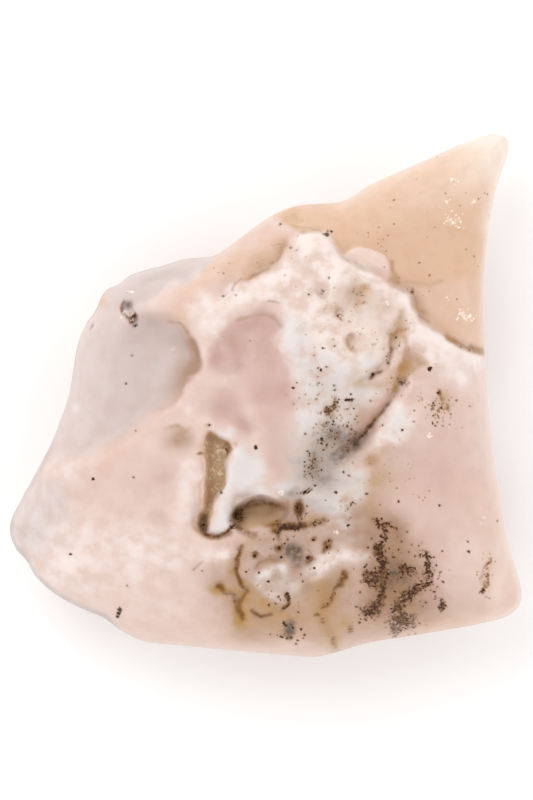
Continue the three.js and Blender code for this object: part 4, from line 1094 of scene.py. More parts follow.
        stroke([(-9.9, 6.6), (-10.15, 6.2), (-10.0, 5.7), (-9.6, 5.5)], 0.14, 0.6),
    ],
    "smoke": [
        blot(6.2, -3.2, 1.2, 0.5, 45, 0.55),
        blot(5.4, -4.0, 1.2, 0.6, 40, 0.6),
        blot(5.0, -4.9, 0.9, 0.6, 40, 0.25),
        blot(4.7, -2.5, 1.1, 0.8, 0, 0.65),
        blot(3.3, -4.9, 0.6, 1.1, 0, 0.5),
        blot(5.9, -2.6, 0.8, 0.5, 40, 0.4),
        blot(1.75, -10.9, 0.6, 0.55, 0, 1.0),
        blot(2.2, -11.6, 0.6, 0.5, 0, 0.5),
        blot(1.6, -16.5, 0.4, 0.65, 0, 1.0),
        blot(1.6, -16.3, 0.3, 0.6, 0, 0.7),
        blot(8.6, -12.4, 1.3, 1.8, 0, 0.5),
        blot(9.2, -12.7, 1.0, 0.7, 0, 0.4),
        blot(7.3, -15.0, 0.8, 0.6, 0, 0.45),
        blot(9.5, -15.8, 0.9, 0.6, 0, 0.35),
        blot(-9.6, 6.35, 0.4, 0.35, 0, 0.6),
        blot(5.9, -0.6, 0.8, 0.5, 0, 0.3),
        blot(2.0, -9.1, 0.9, 0.3, 0, 0.4),
    ],
    "bronze": [],
    "rust": [
        blot(7.7, -8.7, 0.3, 0.3, 0, 0.5),
        blot(8.3, -9.1, 0.55, 0.3, 0, 0.5),
        blot(8.15, -10.0, 0.25, 0.7, 0, 0.45),
        blot(7.85, -10.8, 0.45, 0.45, 0, 0.6),
        blot(8.1, -11.9, 0.4, 1.1, 0, 0.62),
        blot(7.5, -12.9, 0.75, 0.6, 0, 0.6),
        blot(8.2, -13.3, 0.25, 0.6, 0, 0.5),
        blot(7.75, -14.3, 0.4, 0.5, -40, 0.5),
        blot(7.3, -15.1, 0.75, 0.5, 20, 0.66),
        blot(9.8, -12.15, 0.7, 0.35, -20, 0.56),
        stroke([(11.0, -11.2), (11.35, -11.7), (11.2, -12.2), (11.5, -12.7), (11.3, -13.2), (10.6, -13.4),
                (10.0, -13.9), (9.5, -14.4), (9.2, -15.0)], 0.32, 0.5),
        blot(9.5, -15.8, 1.0, 0.6, -10, 0.55),
        blot(9.1, -16.5, 0.4, 0.35, 0, 0.5),
        blot(12.25, -14.8, 0.25, 0.5, 10, 0.56),
        blot(9.4, -13.4, 2.6, 2.6, 0, 0.24),
        blot(1.85, -9.1, 0.9, 0.35, 5, 0.85),
        blot(2.3, -7.9, 0.35, 0.55, 0, 0.5),
        blot(0.95, -9.4, 0.25, 0.5, 0, 0.45),
        blot(-1.95, -8.5, 0.45, 0.8, 30, 0.46),
        blot(-2.3, -9.3, 0.35, 0.3, 0, 0.5),
        blot(-4.35, -9.15, 0.22, 0.45, 10, 0.46),
        blot(4.3, -1.2, 0.55, 0.4, -30, 0.5),
        blot(4.85, -0.5, 0.28, 0.6, 0, 0.5),
        blot(5.9, -0.35, 0.35, 0.14, 0, 0.6),
        blot(1.3, -16.95, 0.6, 0.15, 0, 0.4),
        blot(4.0, -2.7, 1.6, 1.4, 20, 0.3),
        blot(3.2, -5.0, 0.6, 1.1, 0, 0.32),
        blot(2.75, -6.78, 0.45, 0.12, 25, 0.55),
        blot(6.2, -3.4, 1.0, 0.35, 45, 0.35),
        blot(15.1, -13.7, 0.35, 0.12, 0, 0.5),
        blot(12.1, -0.6, 1.3, 1.2, 0, 0.26),
        blot(-9.4, 5.6, 0.25, 0.4, 0, 0.5),
    ],
    "umber_and_shade": [
        blot(1.3, -16.0, 0.14, 0.22, 0, 0.6),
        blot(1.8, -16.2, 0.2, 0.1, 0, 0.5),
        stroke([(1.2, -9.25), (1.6, -9.1), (2.0, -9.1), (2.35, -8.9)], 0.25, 0.75),
        blot(2.25, -8.85, 0.2, 0.3, 0, 0.6),
        blot(2.2, -7.7, 0.2, 0.25, 0, 0.5),
        blot(2.4, -8.2, 0.2, 0.25, 0, 0.5),
        # Painted shadow under the roof of the hollow, along its upper edge.
        stroke([(-2.2, -8.4), (-1.7, -7.85), (-1.0, -7.5), (-0.3, -7.4), (0.4, -7.55),
                (0.9, -7.8)], 0.26, 0.42),
        blot(1.55, -7.6, 0.2, 0.4, 0, 0.4),
        stroke(PRONG_FOOT, 0.12, 0.3),
        stroke([(-4.4, -8.6), (-4.5, -9.1), (-4.3, -9.6)], 0.24, 0.4),
        stroke([(-2.5, -9.3), (-2.3, -8.7), (-1.8, -8.2)], 0.3, 0.15),
        stroke([(10.1, 7.3), (10.2, 7.1)], 0.12, 0.6),
        stroke([(10.5, 6.1), (10.8, 5.7), (11.3, 5.2)], 0.12, 0.35),
        stroke([(-9.45, 5.35), (-9.25, 5.8)], 0.16, 0.6),
        stroke([(-10.1, 6.3), (-10.0, 5.8), (-9.7, 5.6)], 0.1, 0.4),
        stroke([(-9.3, 6.55), (-9.2, 6.1)], 0.1, 0.4),
        blot(-9.2, 5.05, 0.16, 0.14, 0, 1.0),
        blot(-10.0, 6.05, 0.14, 0.18, 0, 0.5),
        blot(-9.64, 7.2, 0.14, 0.1, 0, 0.7),
        stroke([(-2.3, 7.2), (-2.15, 7.8), (-1.7, 8.3)], 0.12, 0.45),
        stroke([(-1.0, 8.5), (0.3, 9.0), (1.0, 9.55)], 0.1, 0.35),
        stroke([(0.05, 6.65), (0.4, 6.5), (1.0, 6.45)], 0.09, 0.4),
        stroke([(1.7, 12.05), (2.6, 11.75), (3.8, 11.4)], 0.12, 0.3),
        stroke([(-0.6, -15.45), (0.1, -15.5)], 0.12, 0.3),
        stroke([(5.0, -13.6), (4.5, -14.3)], 0.1, 0.25),
        stroke([(-2.15, -11.0), (-2.2, -11.5)], 0.1, 0.3),
        stroke([(-1.6, -13.2), (-1.35, -13.5)], 0.1, 0.3),
        stroke([(7.6, -1.75), (7.1, -2.5), (6.6, -3.1)], 0.16, 0.5),
        blot(7.2, -2.3, 0.4, 0.15, 52, 0.4),
    ],
}


MARKS["bronze"] = MARKS["rust"]
# Pale crumbs on the floor and left bank of the slot.
MARKS["crumb"] = [area(SLOT, 0.5, 1.0)]
# The curdled middle, which the tumbling did not reach.
MARKS["curd"] = [
    area(
        [(-2.4, 7.4), (0.4, 9.0), (2.6, 10.9), (4.6, 10.2), (8.2, 7.8), (10.2, 6.2), (11.6, 4.2), (11.4, 1.0),
         (9.6, -1.2), (9.6, -3.6), (8.2, -7.0), (9.6, -9.0), (12.0, -11.4), (11.6, -14.6), (8.0, -16.4),
         (1.6, -17.2), (-2.6, -15.8), (-3.6, -12.6), (-2.4, -10.2), (2.6, -9.4), (2.4, -6.4), (2.2, -1.0),
         (2.2, 3.6), (1.4, 6.0), (-1.4, 6.6)],
        2.4, 1.0,
    ),
    blot(-1.4, 2.6, 2.2, 2.2, 0, 0.4),
]


def dots(*places):
    """Single specks: x, y and radius each."""
    return [np.array(place, float) for place in places]


def sprig(seed, points, spacing, size, spread):
    """A dendrite: specks of about the given size strewn along a line."""
    draw = np.random.default_rng(seed)
    line = curve(points)
    length = np.linalg.norm(np.diff(line, axis=0), axis=1).sum()
    made = []
    for at in evenly(line, max(int(length / spacing), 1)):
        away = draw.normal(0, spread, 2)
        made.append(np.array([at[0] + away[0], at[1] + away[1], size * draw.uniform(0.4, 1.2)]))
    return made


def spray(seed, x, y, half_length, half_width, turn, count, size):
    """Specks strewn over an oval."""
    draw = np.random.default_rng(seed)
    c, s = math.cos(math.radians(turn)), math.sin(math.radians(turn))
    made = []
    for along, across, share in zip(*draw.normal(0, 0.5, (2, count)), draw.uniform(0.4, 1.2, count)):
        u, v = along * half_length, across * half_width
        made.append(np.array([x + u * c - v * s, y + u * s + v * c, size * share]))
    return made


# Black-brown specks of manganese oxide.
SPECKS = [
    *dots(
        (4.25, 11.2, 0.17), (4.3, 11.47, 0.07), (4.57, 11.4, 0.07), (4.0, 11.25, 0.06), (1.0, 11.95, 0.08),
        (1.75, 10.3, 0.07), (1.87, 0.5, 0.1), (2.15, 0.85, 0.04), (3.8, 1.72, 0.1), (4.2, 1.95, 0.07),
        (3.65, 1.9, 0.06), (3.6, 0.75, 0.05), (3.6, 0.0, 0.04), (3.5, -0.3, 0.05), (3.0, -0.65, 0.05),
        (4.75, 0.65, 0.07), (4.8, 0.35, 0.06), (4.75, 3.4, 0.06), (3.95, 3.25, 0.06), (3.9, -3.05, 0.1),
        (2.73, -2.7, 0.06), (4.05, -3.85, 0.07), (3.4, -4.45, 0.07), (2.7, -5.35, 0.06), (2.7, -5.65, 0.06),
        (3.4, -6.3, 0.06), (4.86, -6.8, 0.1), (5.65, -2.2, 0.08), (4.69, -1.78, 0.06), (7.3, -0.4, 0.08),
        (5.9, 0.05, 0.06), (9.5, -2.45, 0.08), (8.1, -2.1, 0.06), (6.05, -4.7, 0.07), (5.4, -5.4, 0.08),
        (5.8, -5.65, 0.08), (7.0, -6.9, 0.08), (9.25, -7.4, 0.09), (6.05, -7.53, 0.07), (12.1, -7.7, 0.06),
        (5.75, -9.1, 0.09), (11.4, 1.83, 0.14), (11.52, 1.9, 0.07), (-3.12, -6.8, 0.09), (14.15, -10.95, 0.1),
        (16.2, -8.8, 0.06), (14.1, -10.25, 0.05), (4.4, 8.15, 0.07), (3.95, 7.25, 0.07), (3.0, 7.0, 0.05),
        (1.3, 8.35, 0.05), (-9.36, 2.75, 0.07), (-9.78, 0.82, 0.07), (-1.1, 3.8, 0.05),
        (-9.1, -2.5, 0.04), (-12.1, -5.85, 0.09), (-9.25, -5.75, 0.06), (-9.7, -13.35, 0.06),
        (-10.25, -15.05, 0.17), (-10.35, -15.3, 0.15), (-10.42, -15.55, 0.09), (-13.7, -11.15, 0.08),
        (-4.48, -12.3, 0.06), (-0.73, -3.6, 0.11), (-0.7, -3.7, 0.09), (-3.95, -2.1, 0.06),
        (-2.98, 6.9, 0.07), (-2.1, 6.95, 0.05), (10.15, 7.2, 0.1), (13.6, 3.38, 0.06), (14.2, 3.15, 0.07),
        (8.5, 2.25, 0.09), (7.45, 1.45, 0.12), (7.3, 1.25, 0.06), (6.6, 4.25, 0.05), (12.0, 0.15, 0.11),
    ),
    *dots(
        (0.17, -13.02, 0.1), (1.05, -11.31, 0.09), (0.92, -10.66, 0.13), (-0.77, -11.24, 0.14),
        (2.94, -11.34, 0.14), (3.29, -10.12, 0.09), (4.25, -10.6, 0.13), (4.4, -10.2, 0.1),
        (3.4, -12.08, 0.08),
        (0.28, -11.2, 0.06), (1.3, -10.36, 0.06), (1.51, -10.08, 0.05), (0.56, -10.08, 0.05),
        (2.45, -12.5, 0.05), (2.55, -13.0, 0.06), (0.81, -14.07, 0.08), (0.7, -14.56, 0.07),
        (0.17, -14.7, 0.1), (1.47, -13.9, 0.13), (2.45, -16.38, 0.08), (2.7, -16.8, 0.08), (2.6, -17.0, 0.05),
        (2.2, -17.2, 0.07), (2.1, -17.43, 0.06), (2.24, -15.2, 0.05), (1.0, -16.9, 0.06), (0.3, -16.75, 0.06),
        (-1.4, -12.35, 0.06), (1.9, -9.85, 0.06), (-0.5, -12.4, 0.05),
    ),
    *sprig(21, [(1.5, -14.0), (1.62, -14.35), (1.5, -14.7), (1.2, -14.95)], 0.08, 0.07, 0.04),
    *sprig(22, [(0.8, -14.1), (1.0, -14.35), (1.3, -14.4)], 0.12, 0.05, 0.04),
    *dots(
        (1.25, -15.95, 0.12), (1.4, -16.12, 0.1), (1.85, -16.25, 0.1), (1.15, -16.95, 0.07),
        (1.45, -17.05, 0.08),
        (1.75, -17.0, 0.09), (0.8, -16.8, 0.05), (1.3, -16.75, 0.06), (1.95, -16.7, 0.06),
    ),
    *sprig(27, [(0.8, -9.2), (1.4, -9.15), (1.9, -8.95), (2.5, -8.9)], 0.3, 0.05, 0.2),
    *spray(29, 2.25, -7.9, 0.4, 0.7, 0, 12, 0.06),
    *sprig(30, [(2.35, -6.88), (2.75, -6.85), (3.15, -6.6)], 0.07, 0.06, 0.03),
    *sprig(31, [(0.8, -8.8), (0.85, -9.4), (0.9, -9.8)], 0.12, 0.05, 0.06),
    *spray(32, -1.9, -8.5, 0.6, 0.9, 30, 14, 0.05),
    *spray(34, 4.3, -1.2, 0.7, 0.5, -20, 14, 0.06),
    *spray(35, 4.85, -0.5, 0.35, 0.8, 0, 12, 0.06),
    *sprig(36, [(5.6, -0.35), (5.9, -0.35), (6.15, -0.3)], 0.06, 0.1, 0.05),
    *sprig(37, [(6.0, -0.9), (6.2, -1.4), (6.3, -1.8)], 0.14, 0.05, 0.1),
    *spray(38, 4.8, -2.3, 1.6, 1.2, 20, 60, 0.05),
    *spray(39, 3.2, -4.9, 0.7, 1.2, 0, 34, 0.05),
    *spray(40, 4.5, -3.2, 1.2, 0.8, 40, 26, 0.05),
    *spray(41, 6.2, -3.3, 1.2, 0.5, 45, 18, 0.045),
    *spray(42, 3.0, 0.2, 1.6, 2.4, 0, 16, 0.035),
    *spray(43, 12.2, -0.9, 1.4, 1.2, 0, 22, 0.055),
    *spray(44, 6.5, 6.8, 0.8, 1.0, 0, 12, 0.04),
    *spray(45, 5.2, 5.6, 0.5, 0.5, 0, 10, 0.04),
    *spray(46, 9.6, 0.9, 0.6, 0.3, 0, 10, 0.05),
    *spray(48, 2.6, -8.2, 0.6, 0.8, 0, 12, 0.04),
    *spray(49, 3.4, -9.0, 0.8, 0.35, 15, 22, 0.05),
    *spray(50, 5.7, -7.5, 0.7, 0.8, 0, 14, 0.045),
    *sprig(51, [(4.85, -13.8), (4.4, -14.4), (4.0, -14.8)], 0.14, 0.045, 0.05),
    *spray(52, 15.3, -12.9, 0.4, 1.3, -10, 14, 0.04),
    *sprig(53, [(15.3, -13.65), (14.95, -13.75)], 0.06, 0.06, 0.03),
    *spray(54, 8.6, 3.4, 0.8, 1.2, 0, 12, 0.04),
]

# Small brown freckles on the horn and elsewhere.
FRECKLES = [
    *dots(
        (8.95, 13.65, 0.09), (10.7, 9.2, 0.08), (11.45, 8.4, 0.09), (13.35, 6.7, 0.06), (13.5, 11.7, 0.08),
        (8.95, 11.95, 0.07), (8.5, 11.15, 0.06), (7.75, 11.4, 0.05), (8.4, 10.05, 0.05), (11.45, 7.25, 0.04),
        (13.1, 15.0, 0.09), (13.6, 13.25, 0.07), (13.0, 13.85, 0.06), (14.0, 10.2, 0.07), (13.8, 9.4, 0.05),
        (14.55, 9.7, 0.05), (9.1, -6.5, 0.05), (13.7, -2.3, 0.07), (10.3, -1.85, 0.06),
    ),
    *spray(47, 8.3, 10.9, 1.2, 1.0, 0, 10, 0.04),
    *spray(55, 11.5, 12.0, 6.0, 4.0, 30, 50, 0.035),
    *spray(56, 0.6, 9.8, 2.0, 1.0, 30, 14, 0.035),
    *spray(57, 5.4, 5.5, 3.0, 3.0, 0, 50, 0.04),
    *spray(58, 9.4, 2.0, 2.0, 3.4, -20, 40, 0.045),
    *spray(59, 8.6, -5.8, 2.6, 3.0, 0, 50, 0.045),
    *spray(60, 3.0, -12.6, 5.0, 4.6, 0, 80, 0.045),
    *spray(77, 12.1, -0.8, 1.6, 1.4, 0, 26, 0.06),
    *spray(78, -3.0, 8.2, 1.2, 1.2, 0, 10, 0.035),
    *spray(79, 15.4, -12.8, 0.7, 1.6, 0, 26, 0.05),
]

# Small bright spots: chips where the polish is broken, and painted highlights in the small pits and on the
# horn.
CHIPS_AND_GLINTS = [
    *spray(61, 13.1, 15.05, 0.25, 0.25, 0, 14, 0.04),
    *spray(62, 14.65, 13.5, 0.2, 0.15, 0, 12, 0.05),
    *spray(63, 12.6, 13.5, 0.2, 0.12, 0, 8, 0.04),
    *spray(64, 13.0, 12.1, 0.7, 0.6, -40, 44, 0.04),
    *spray(65, 13.9, 5.5, 0.6, 0.35, -20, 34, 0.055),
    *spray(66, 12.7, 6.75, 0.15, 0.15, 0, 5, 0.045),
    *spray(67, 8.35, 6.4, 0.3, 0.15, 0, 10, 0.045),
    *spray(68, -10.05, 5.7, 0.15, 0.3, -30, 7, 0.045),
    *spray(69, -9.45, 7.2, 0.25, 0.12, 0, 9, 0.05),
    *spray(70, 11.4, -2.85, 0.25, 0.2, 0, 9, 0.055),
    *spray(71, 1.1, -6.85, 0.3, 0.2, 0, 12, 0.05),
    *spray(72, -6.5, 3.3, 0.15, 0.15, 0, 3, 0.06),
    *spray(73, -9.35, 5.5, 0.15, 0.35, 10, 6, 0.05),
    *spray(74, -13.7, -11.5, 0.3, 0.1, 0, 5, 0.045),
    *spray(75, 4.9, -9.6, 0.2, 0.2, 0, 3, 0.06),
    *spray(76, 15.1, -8.75, 0.3, 0.3, 0, 5, 0.05),
]

# Dendrites: fern-like growths of brown specks at the lower right.
DENDRITES = [
    *sprig(3, [(7.55, -8.6), (7.85, -8.8), (7.9, -9.15), (8.25, -9.0), (8.25, -9.6), (8.2, -10.1),
               (8.0, -10.4), (7.8, -10.7), (8.0, -11.0), (8.1, -11.6), (8.2, -12.0),
               (8.0, -12.5)], 0.05, 0.08, 0.11),
    *sprig(4, [(8.3, -8.95), (8.7, -9.1), (9.1, -9.35)], 0.07, 0.06, 0.06),
    *spray(5, 7.85, -10.8, 0.4, 0.6, 0, 24, 0.06),
    *spray(6, 8.1, -11.9, 0.35, 1.2, 0, 40, 0.06),
    *sprig(7, [(7.0, -11.9), (7.05, -12.9), (7.3, -13.3), (7.9, -13.4)], 0.05, 0.07, 0.12),
    *spray(8, 7.5, -12.9, 0.8, 0.7, 0, 34, 0.06),
    *sprig(9, [(8.35, -12.8), (8.25, -13.4), (8.1, -13.9), (7.8, -14.3), (7.6, -14.9),
               (7.0, -15.3)], 0.05, 0.08, 0.08),
    *spray(10, 7.3, -15.1, 0.9, 0.7, 20, 60, 0.06),
    *sprig(11, [(8.8, -11.2), (9.1, -11.45)], 0.08, 0.05, 0.08),
    *sprig(12, [(9.5, -11.7), (9.75, -12.1), (10.2, -12.3)], 0.04, 0.08, 0.1),
    *sprig(13, [(9.3, -12.5), (9.8, -12.3), (10.1, -12.6)], 0.06, 0.07, 0.08),
    *sprig(14, [(10.7, -11.2), (11.15, -11.2), (11.35, -11.7), (11.2, -12.2), (11.5, -12.6), (11.35, -13.0),
                (11.2, -13.3), (10.7, -13.3), (10.5, -13.6), (10.0, -14.0), (9.6, -14.4), (9.4, -14.8),
                (9.2, -15.2)], 0.045, 0.07, 0.12),
    *spray(15, 9.6, -14.2, 0.8, 0.35, 40, 36, 0.07),
    *spray(16, 9.5, -15.9, 1.1, 0.8, -10, 64, 0.055),
    *spray(17, 9.1, -16.5, 0.4, 0.4, 0, 20, 0.07),
    *spray(18, 12.25, -14.85, 0.25, 0.55, 10, 22, 0.09),
    *dots(
        (10.15, -10.45, 0.06), (9.85, -9.55, 0.06), (9.45, -10.25, 0.07), (7.35, -10.0, 0.06),
        (7.1, -10.65, 0.07), (11.15, -10.95, 0.08), (11.75, -13.75, 0.08), (12.4, -13.1, 0.07),
        (12.25, -13.05, 0.05), (11.2, -14.5, 0.06), (8.8, -14.95, 0.06), (9.0, -13.7, 0.06),
        (9.05, -9.6, 0.05),
        (8.6, -10.7, 0.06), (9.2, -9.9, 0.06), (11.9, -11.9, 0.06), (12.1, -12.6, 0.04),
    ),
    *spray(19, 10.2, -12.6, 2.6, 3.0, 0, 36, 0.035),
    *spray(20, 11.8, -12.4, 0.7, 1.4, 0, 22, 0.045),
]


def ink(x, y, specks):
    """How far inside the nearest speck a place is; negative outside."""
    deepest = np.full(x.shape, -INK_REACH)
    for at_x, at_y, radius in specks:
        close = (abs(x - at_x) < radius + INK_REACH) & (abs(y - at_y) < radius + INK_REACH)
        inside = radius - np.hypot(x[close] - at_x, y[close] - at_y)
        deepest[close] = np.maximum(deepest[close], inside)
    return deepest


def linear(hex_colour):
    """An sRGB hex colour as linear red, green, blue and alpha."""
    parts = [int(hex_colour[i : i + 2], 16) / 255 for i in (1, 3, 5)]
    return [p / 12.92 if p <= 0.04045 else ((p + 0.055) / 1.055) ** 2.4 for p in parts] + [1.0]


def refined_sphere():
    """A sphere of triangles with its points gathered along the stone's details."""
    bm = bmesh.new()
    bmesh.ops.create_icosphere(bm, subdivisions=SPHERE_SUBDIVISIONS, radius=1.0)
    for edge_length, line_reach, speck_reach in zip(FINE_EDGES, LINE_REACH, SPECK_REACH):
        directions = np.array([v.co for v in bm.verts])
        directions /= np.linalg.norm(directions, axis=1)[:, None]
        _, x, y, on_top = plan_of(directions)
        wanted = np.zeros(len(x), bool)
        for line in detail_lines:
            close = near(line, line_reach, x, y) & on_top
            wanted[close] |= distance_to(line, x[close], y[close]) < line_reach
        wanted |= on_top & (ink(x, y, FRECKLES + SPECKS + DENDRITES + CHIPS_AND_GLINTS) > -speck_reach)
        ends = np.array([(e.verts[0].index, e.verts[1].index) for e in bm.edges])
        length = np.hypot(x[ends[:, 0]] - x[ends[:, 1]], y[ends[:, 0]] - y[ends[:, 1]])
        chosen = np.nonzero((length > edge_length) & wanted[ends].any(axis=1))[0]
        bm.edges.ensure_lookup_table()
        long_edges = [bm.edges[i] for i in chosen]
        bmesh.ops.subdivide_edges(bm, edges=long_edges, cuts=1, use_grid_fill=True)
        bmesh.ops.triangulate(bm, faces=bm.faces[:])
        bm.verts.index_update()
    return bm


def build_stone():
    bm = refined_sphere()
    directions = np.array([v.co for v in bm.verts])
    directions /= np.linalg.norm(directions, axis=1)[:, None]
    points, rim_height = place(directions)
    low, high = points.min(axis=0), points.max(axis=0)
    shift = np.array([-(low[0] + high[0]) / 2, -(low[1] + high[1]) / 2, -low[2]])
    for vert, point in zip(bm.verts, (points + shift) * MM):
        vert.co = point
    bmesh.ops.recalc_face_normals(bm, faces=bm.faces[:])
    mesh = bpy.data.meshes.new("opal_surface")
    bm.to_mesh(mesh)
    bm.free()
    mesh.polygons.foreach_set("use_smooth", np.ones(len(mesh.polygons), bool))
    stone = bpy.data.objects.new("opal_pebble", mesh)
    bpy.context.scene.collection.objects.link(stone)
    return stone, points, rim_height, shift


def add_node(tree, kind, inputs, **settings):
    """Adds a node with its settings; each input takes a value or a link from another node."""
    node = tree.nodes.new(kind)
    for name, value in settings.items():
        setattr(node, name, value)
    for name, value in inputs.items():
        if isinstance(value, bpy.types.NodeSocket):
            tree.links.new(value, node.inputs[name])
        else:
            node.inputs[name].default_value = value
    return node


def floor_and_light():
    bm = bmesh.new()
    bmesh.ops.create_grid(bm, x_segments=1, y_segments=1, size=PAPER_HALF_SIZE)
    mesh = bpy.data.meshes.new("table_top")
    bm.to_mesh(mesh)
    bm.free()
    floor = bpy.data.objects.new("table_top", mesh)
    bpy.context.scene.collection.objects.link(floor)
    # Uncoated paper: an even white without shine. Its weak glow keeps it as pale as a lit backdrop.
    paper = bpy.data.materials.new("matt_white_paper")
    paper.use_nodes = True
    shader = paper.node_tree.nodes["Principled BSDF"]
    shader.inputs["Base Color"].default_value = linear(PAPER)
    shader.inputs["Roughness"].default_value = PAPER_ROUGHNESS
    shader.inputs["Emission Color"].default_value = (1, 1, 1, 1)
    shader.inputs["Emission Strength"].default_value = PAPER_GLOW
    mesh.materials.append(paper)

    world = bpy.data.worlds.new("white_tent")
    world.use_nodes = True
    sky = world.node_tree.nodes["Background"]
    sky.inputs["Color"].default_value = (1, 1, 1, 1)
    direction = add_node(world.node_tree, "ShaderNodeTexCoord", {}).outputs["Generated"]
    height = add_node(world.node_tree, "ShaderNodeSeparateXYZ", {"Vector": direction}).outputs["Z"]
    tent = add_node(
        world.node_tree, "ShaderNodeMapRange",
        {"Value": height, "From Min": HOLE_EDGE, "From Max": HOLE_MIDDLE, "To Min": TENT,
         "To Max": LENS_HOLE},
        interpolation_type="SMOOTHSTEP",
    ).outputs[0]
    world.node_tree.links.new(tent, sky.inputs["Strength"])
    bpy.context.scene.world = world

    lamp = bpy.data.lights.new("soft_box", "AREA")
    lamp.shape = "DISK"
    lamp.size = LAMP_SIZE
    lamp.energy = LAMP_POWER
    soft_box = bpy.data.objects.new("soft_box", lamp)
    soft_box.location = LAMP_PLACE
    soft_box.rotation_euler = (-Vector(soft_box.location)).to_track_quat("-Z", "Y").to_euler()
    bpy.context.scene.collection.objects.link(soft_box)


def camera(shift):
    data = bpy.data.cameras.new("camera")
    data.lens = LENS
    data.sensor_width = SENSOR
    distance = LENS * PICTURE_LONG_SIDE / SENSOR
    data.clip_start = 0.01
    data.clip_end = 10.0
    made = bpy.data.objects.new("camera", data)
    made.location = (
        (PICTURE_MIDDLE[0] + shift[0]) * MM,
        (PICTURE_MIDDLE[1] + shift[1]) * MM,
        (distance + SHARP_HEIGHT) * MM,
    )
    bpy.context.scene.collection.objects.link(made)
    bpy.context.scene.camera = made


def write_marks(mesh, points, rim_height):
    """Stores how strongly each kind of opal or stain, with its painted shade or painted light, shows at every
    point of the surface.
    """
    x, y, z = points.T
    upper = smooth(1 - (rim_height - z + 0.4 * ripples(17, 5.0)(x, y, z)) / TOP_MARKS_FADE)
    inward = smooth(distance_to(RIM_LINE, x, y) / STEADY_RIM)
    bend_x = inward * (WANDER * ripples(11, 2.6)(x, y) + FINE_WANDER * ripples(12, 0.7)(x, y))
    bend_y = inward * (WANDER * ripples(13, 2.6)(x, y) + FINE_WANDER * ripples(14, 0.7)(x, y))
    stray_x = bend_x + CLOUD_WANDER * inward * ripples(15, 3.6)(x, y)
    stray_y = bend_y + CLOUD_WANDER * inward * ripples(16, 3.6)(x, y)
    for kind, marks in MARKS.items():
        clear = np.ones(len(x))
        bent = (x + stray_x, y + stray_y) if kind in CLOUDS else (x + bend_x, y + bend_y)
        for mark in marks:
            clear *= 1 - mark(*bent)
        strength = (1 - clear) * upper
        # The grey marks and the painted rim shade fade out down the side.
        if kind == "grey_and_rim_shade":
            strength *= 1 - smooth((rim_height - z) / GREY_AND_RIM_SHADE_FADE)
        if kind in UNDER_CLOUDS:
            seed, most = UNDER_CLOUDS[kind]
            cloud = ripples(seed, 9.0)(x, y, z) + 0.3 * ripples(seed + 1, 2.2)(x, y, z)
            strength += (1 - upper) * most * smooth(0.5 + cloud)
        mesh.attributes.new(kind, "FLOAT", "POINT").data.foreach_set("value", strength)
    for kind, specks in (("freckle", FRECKLES), ("speck", SPECKS), ("dendrite", DENDRITES), ("chip_and_glint", CHIPS_AND_GLINTS)):
        depth = np.where(upper > 0.5, ink(x, y, specks), -INK_REACH)
        mesh.attributes.new(kind, "FLOAT", "POINT").data.foreach_set("value", depth)


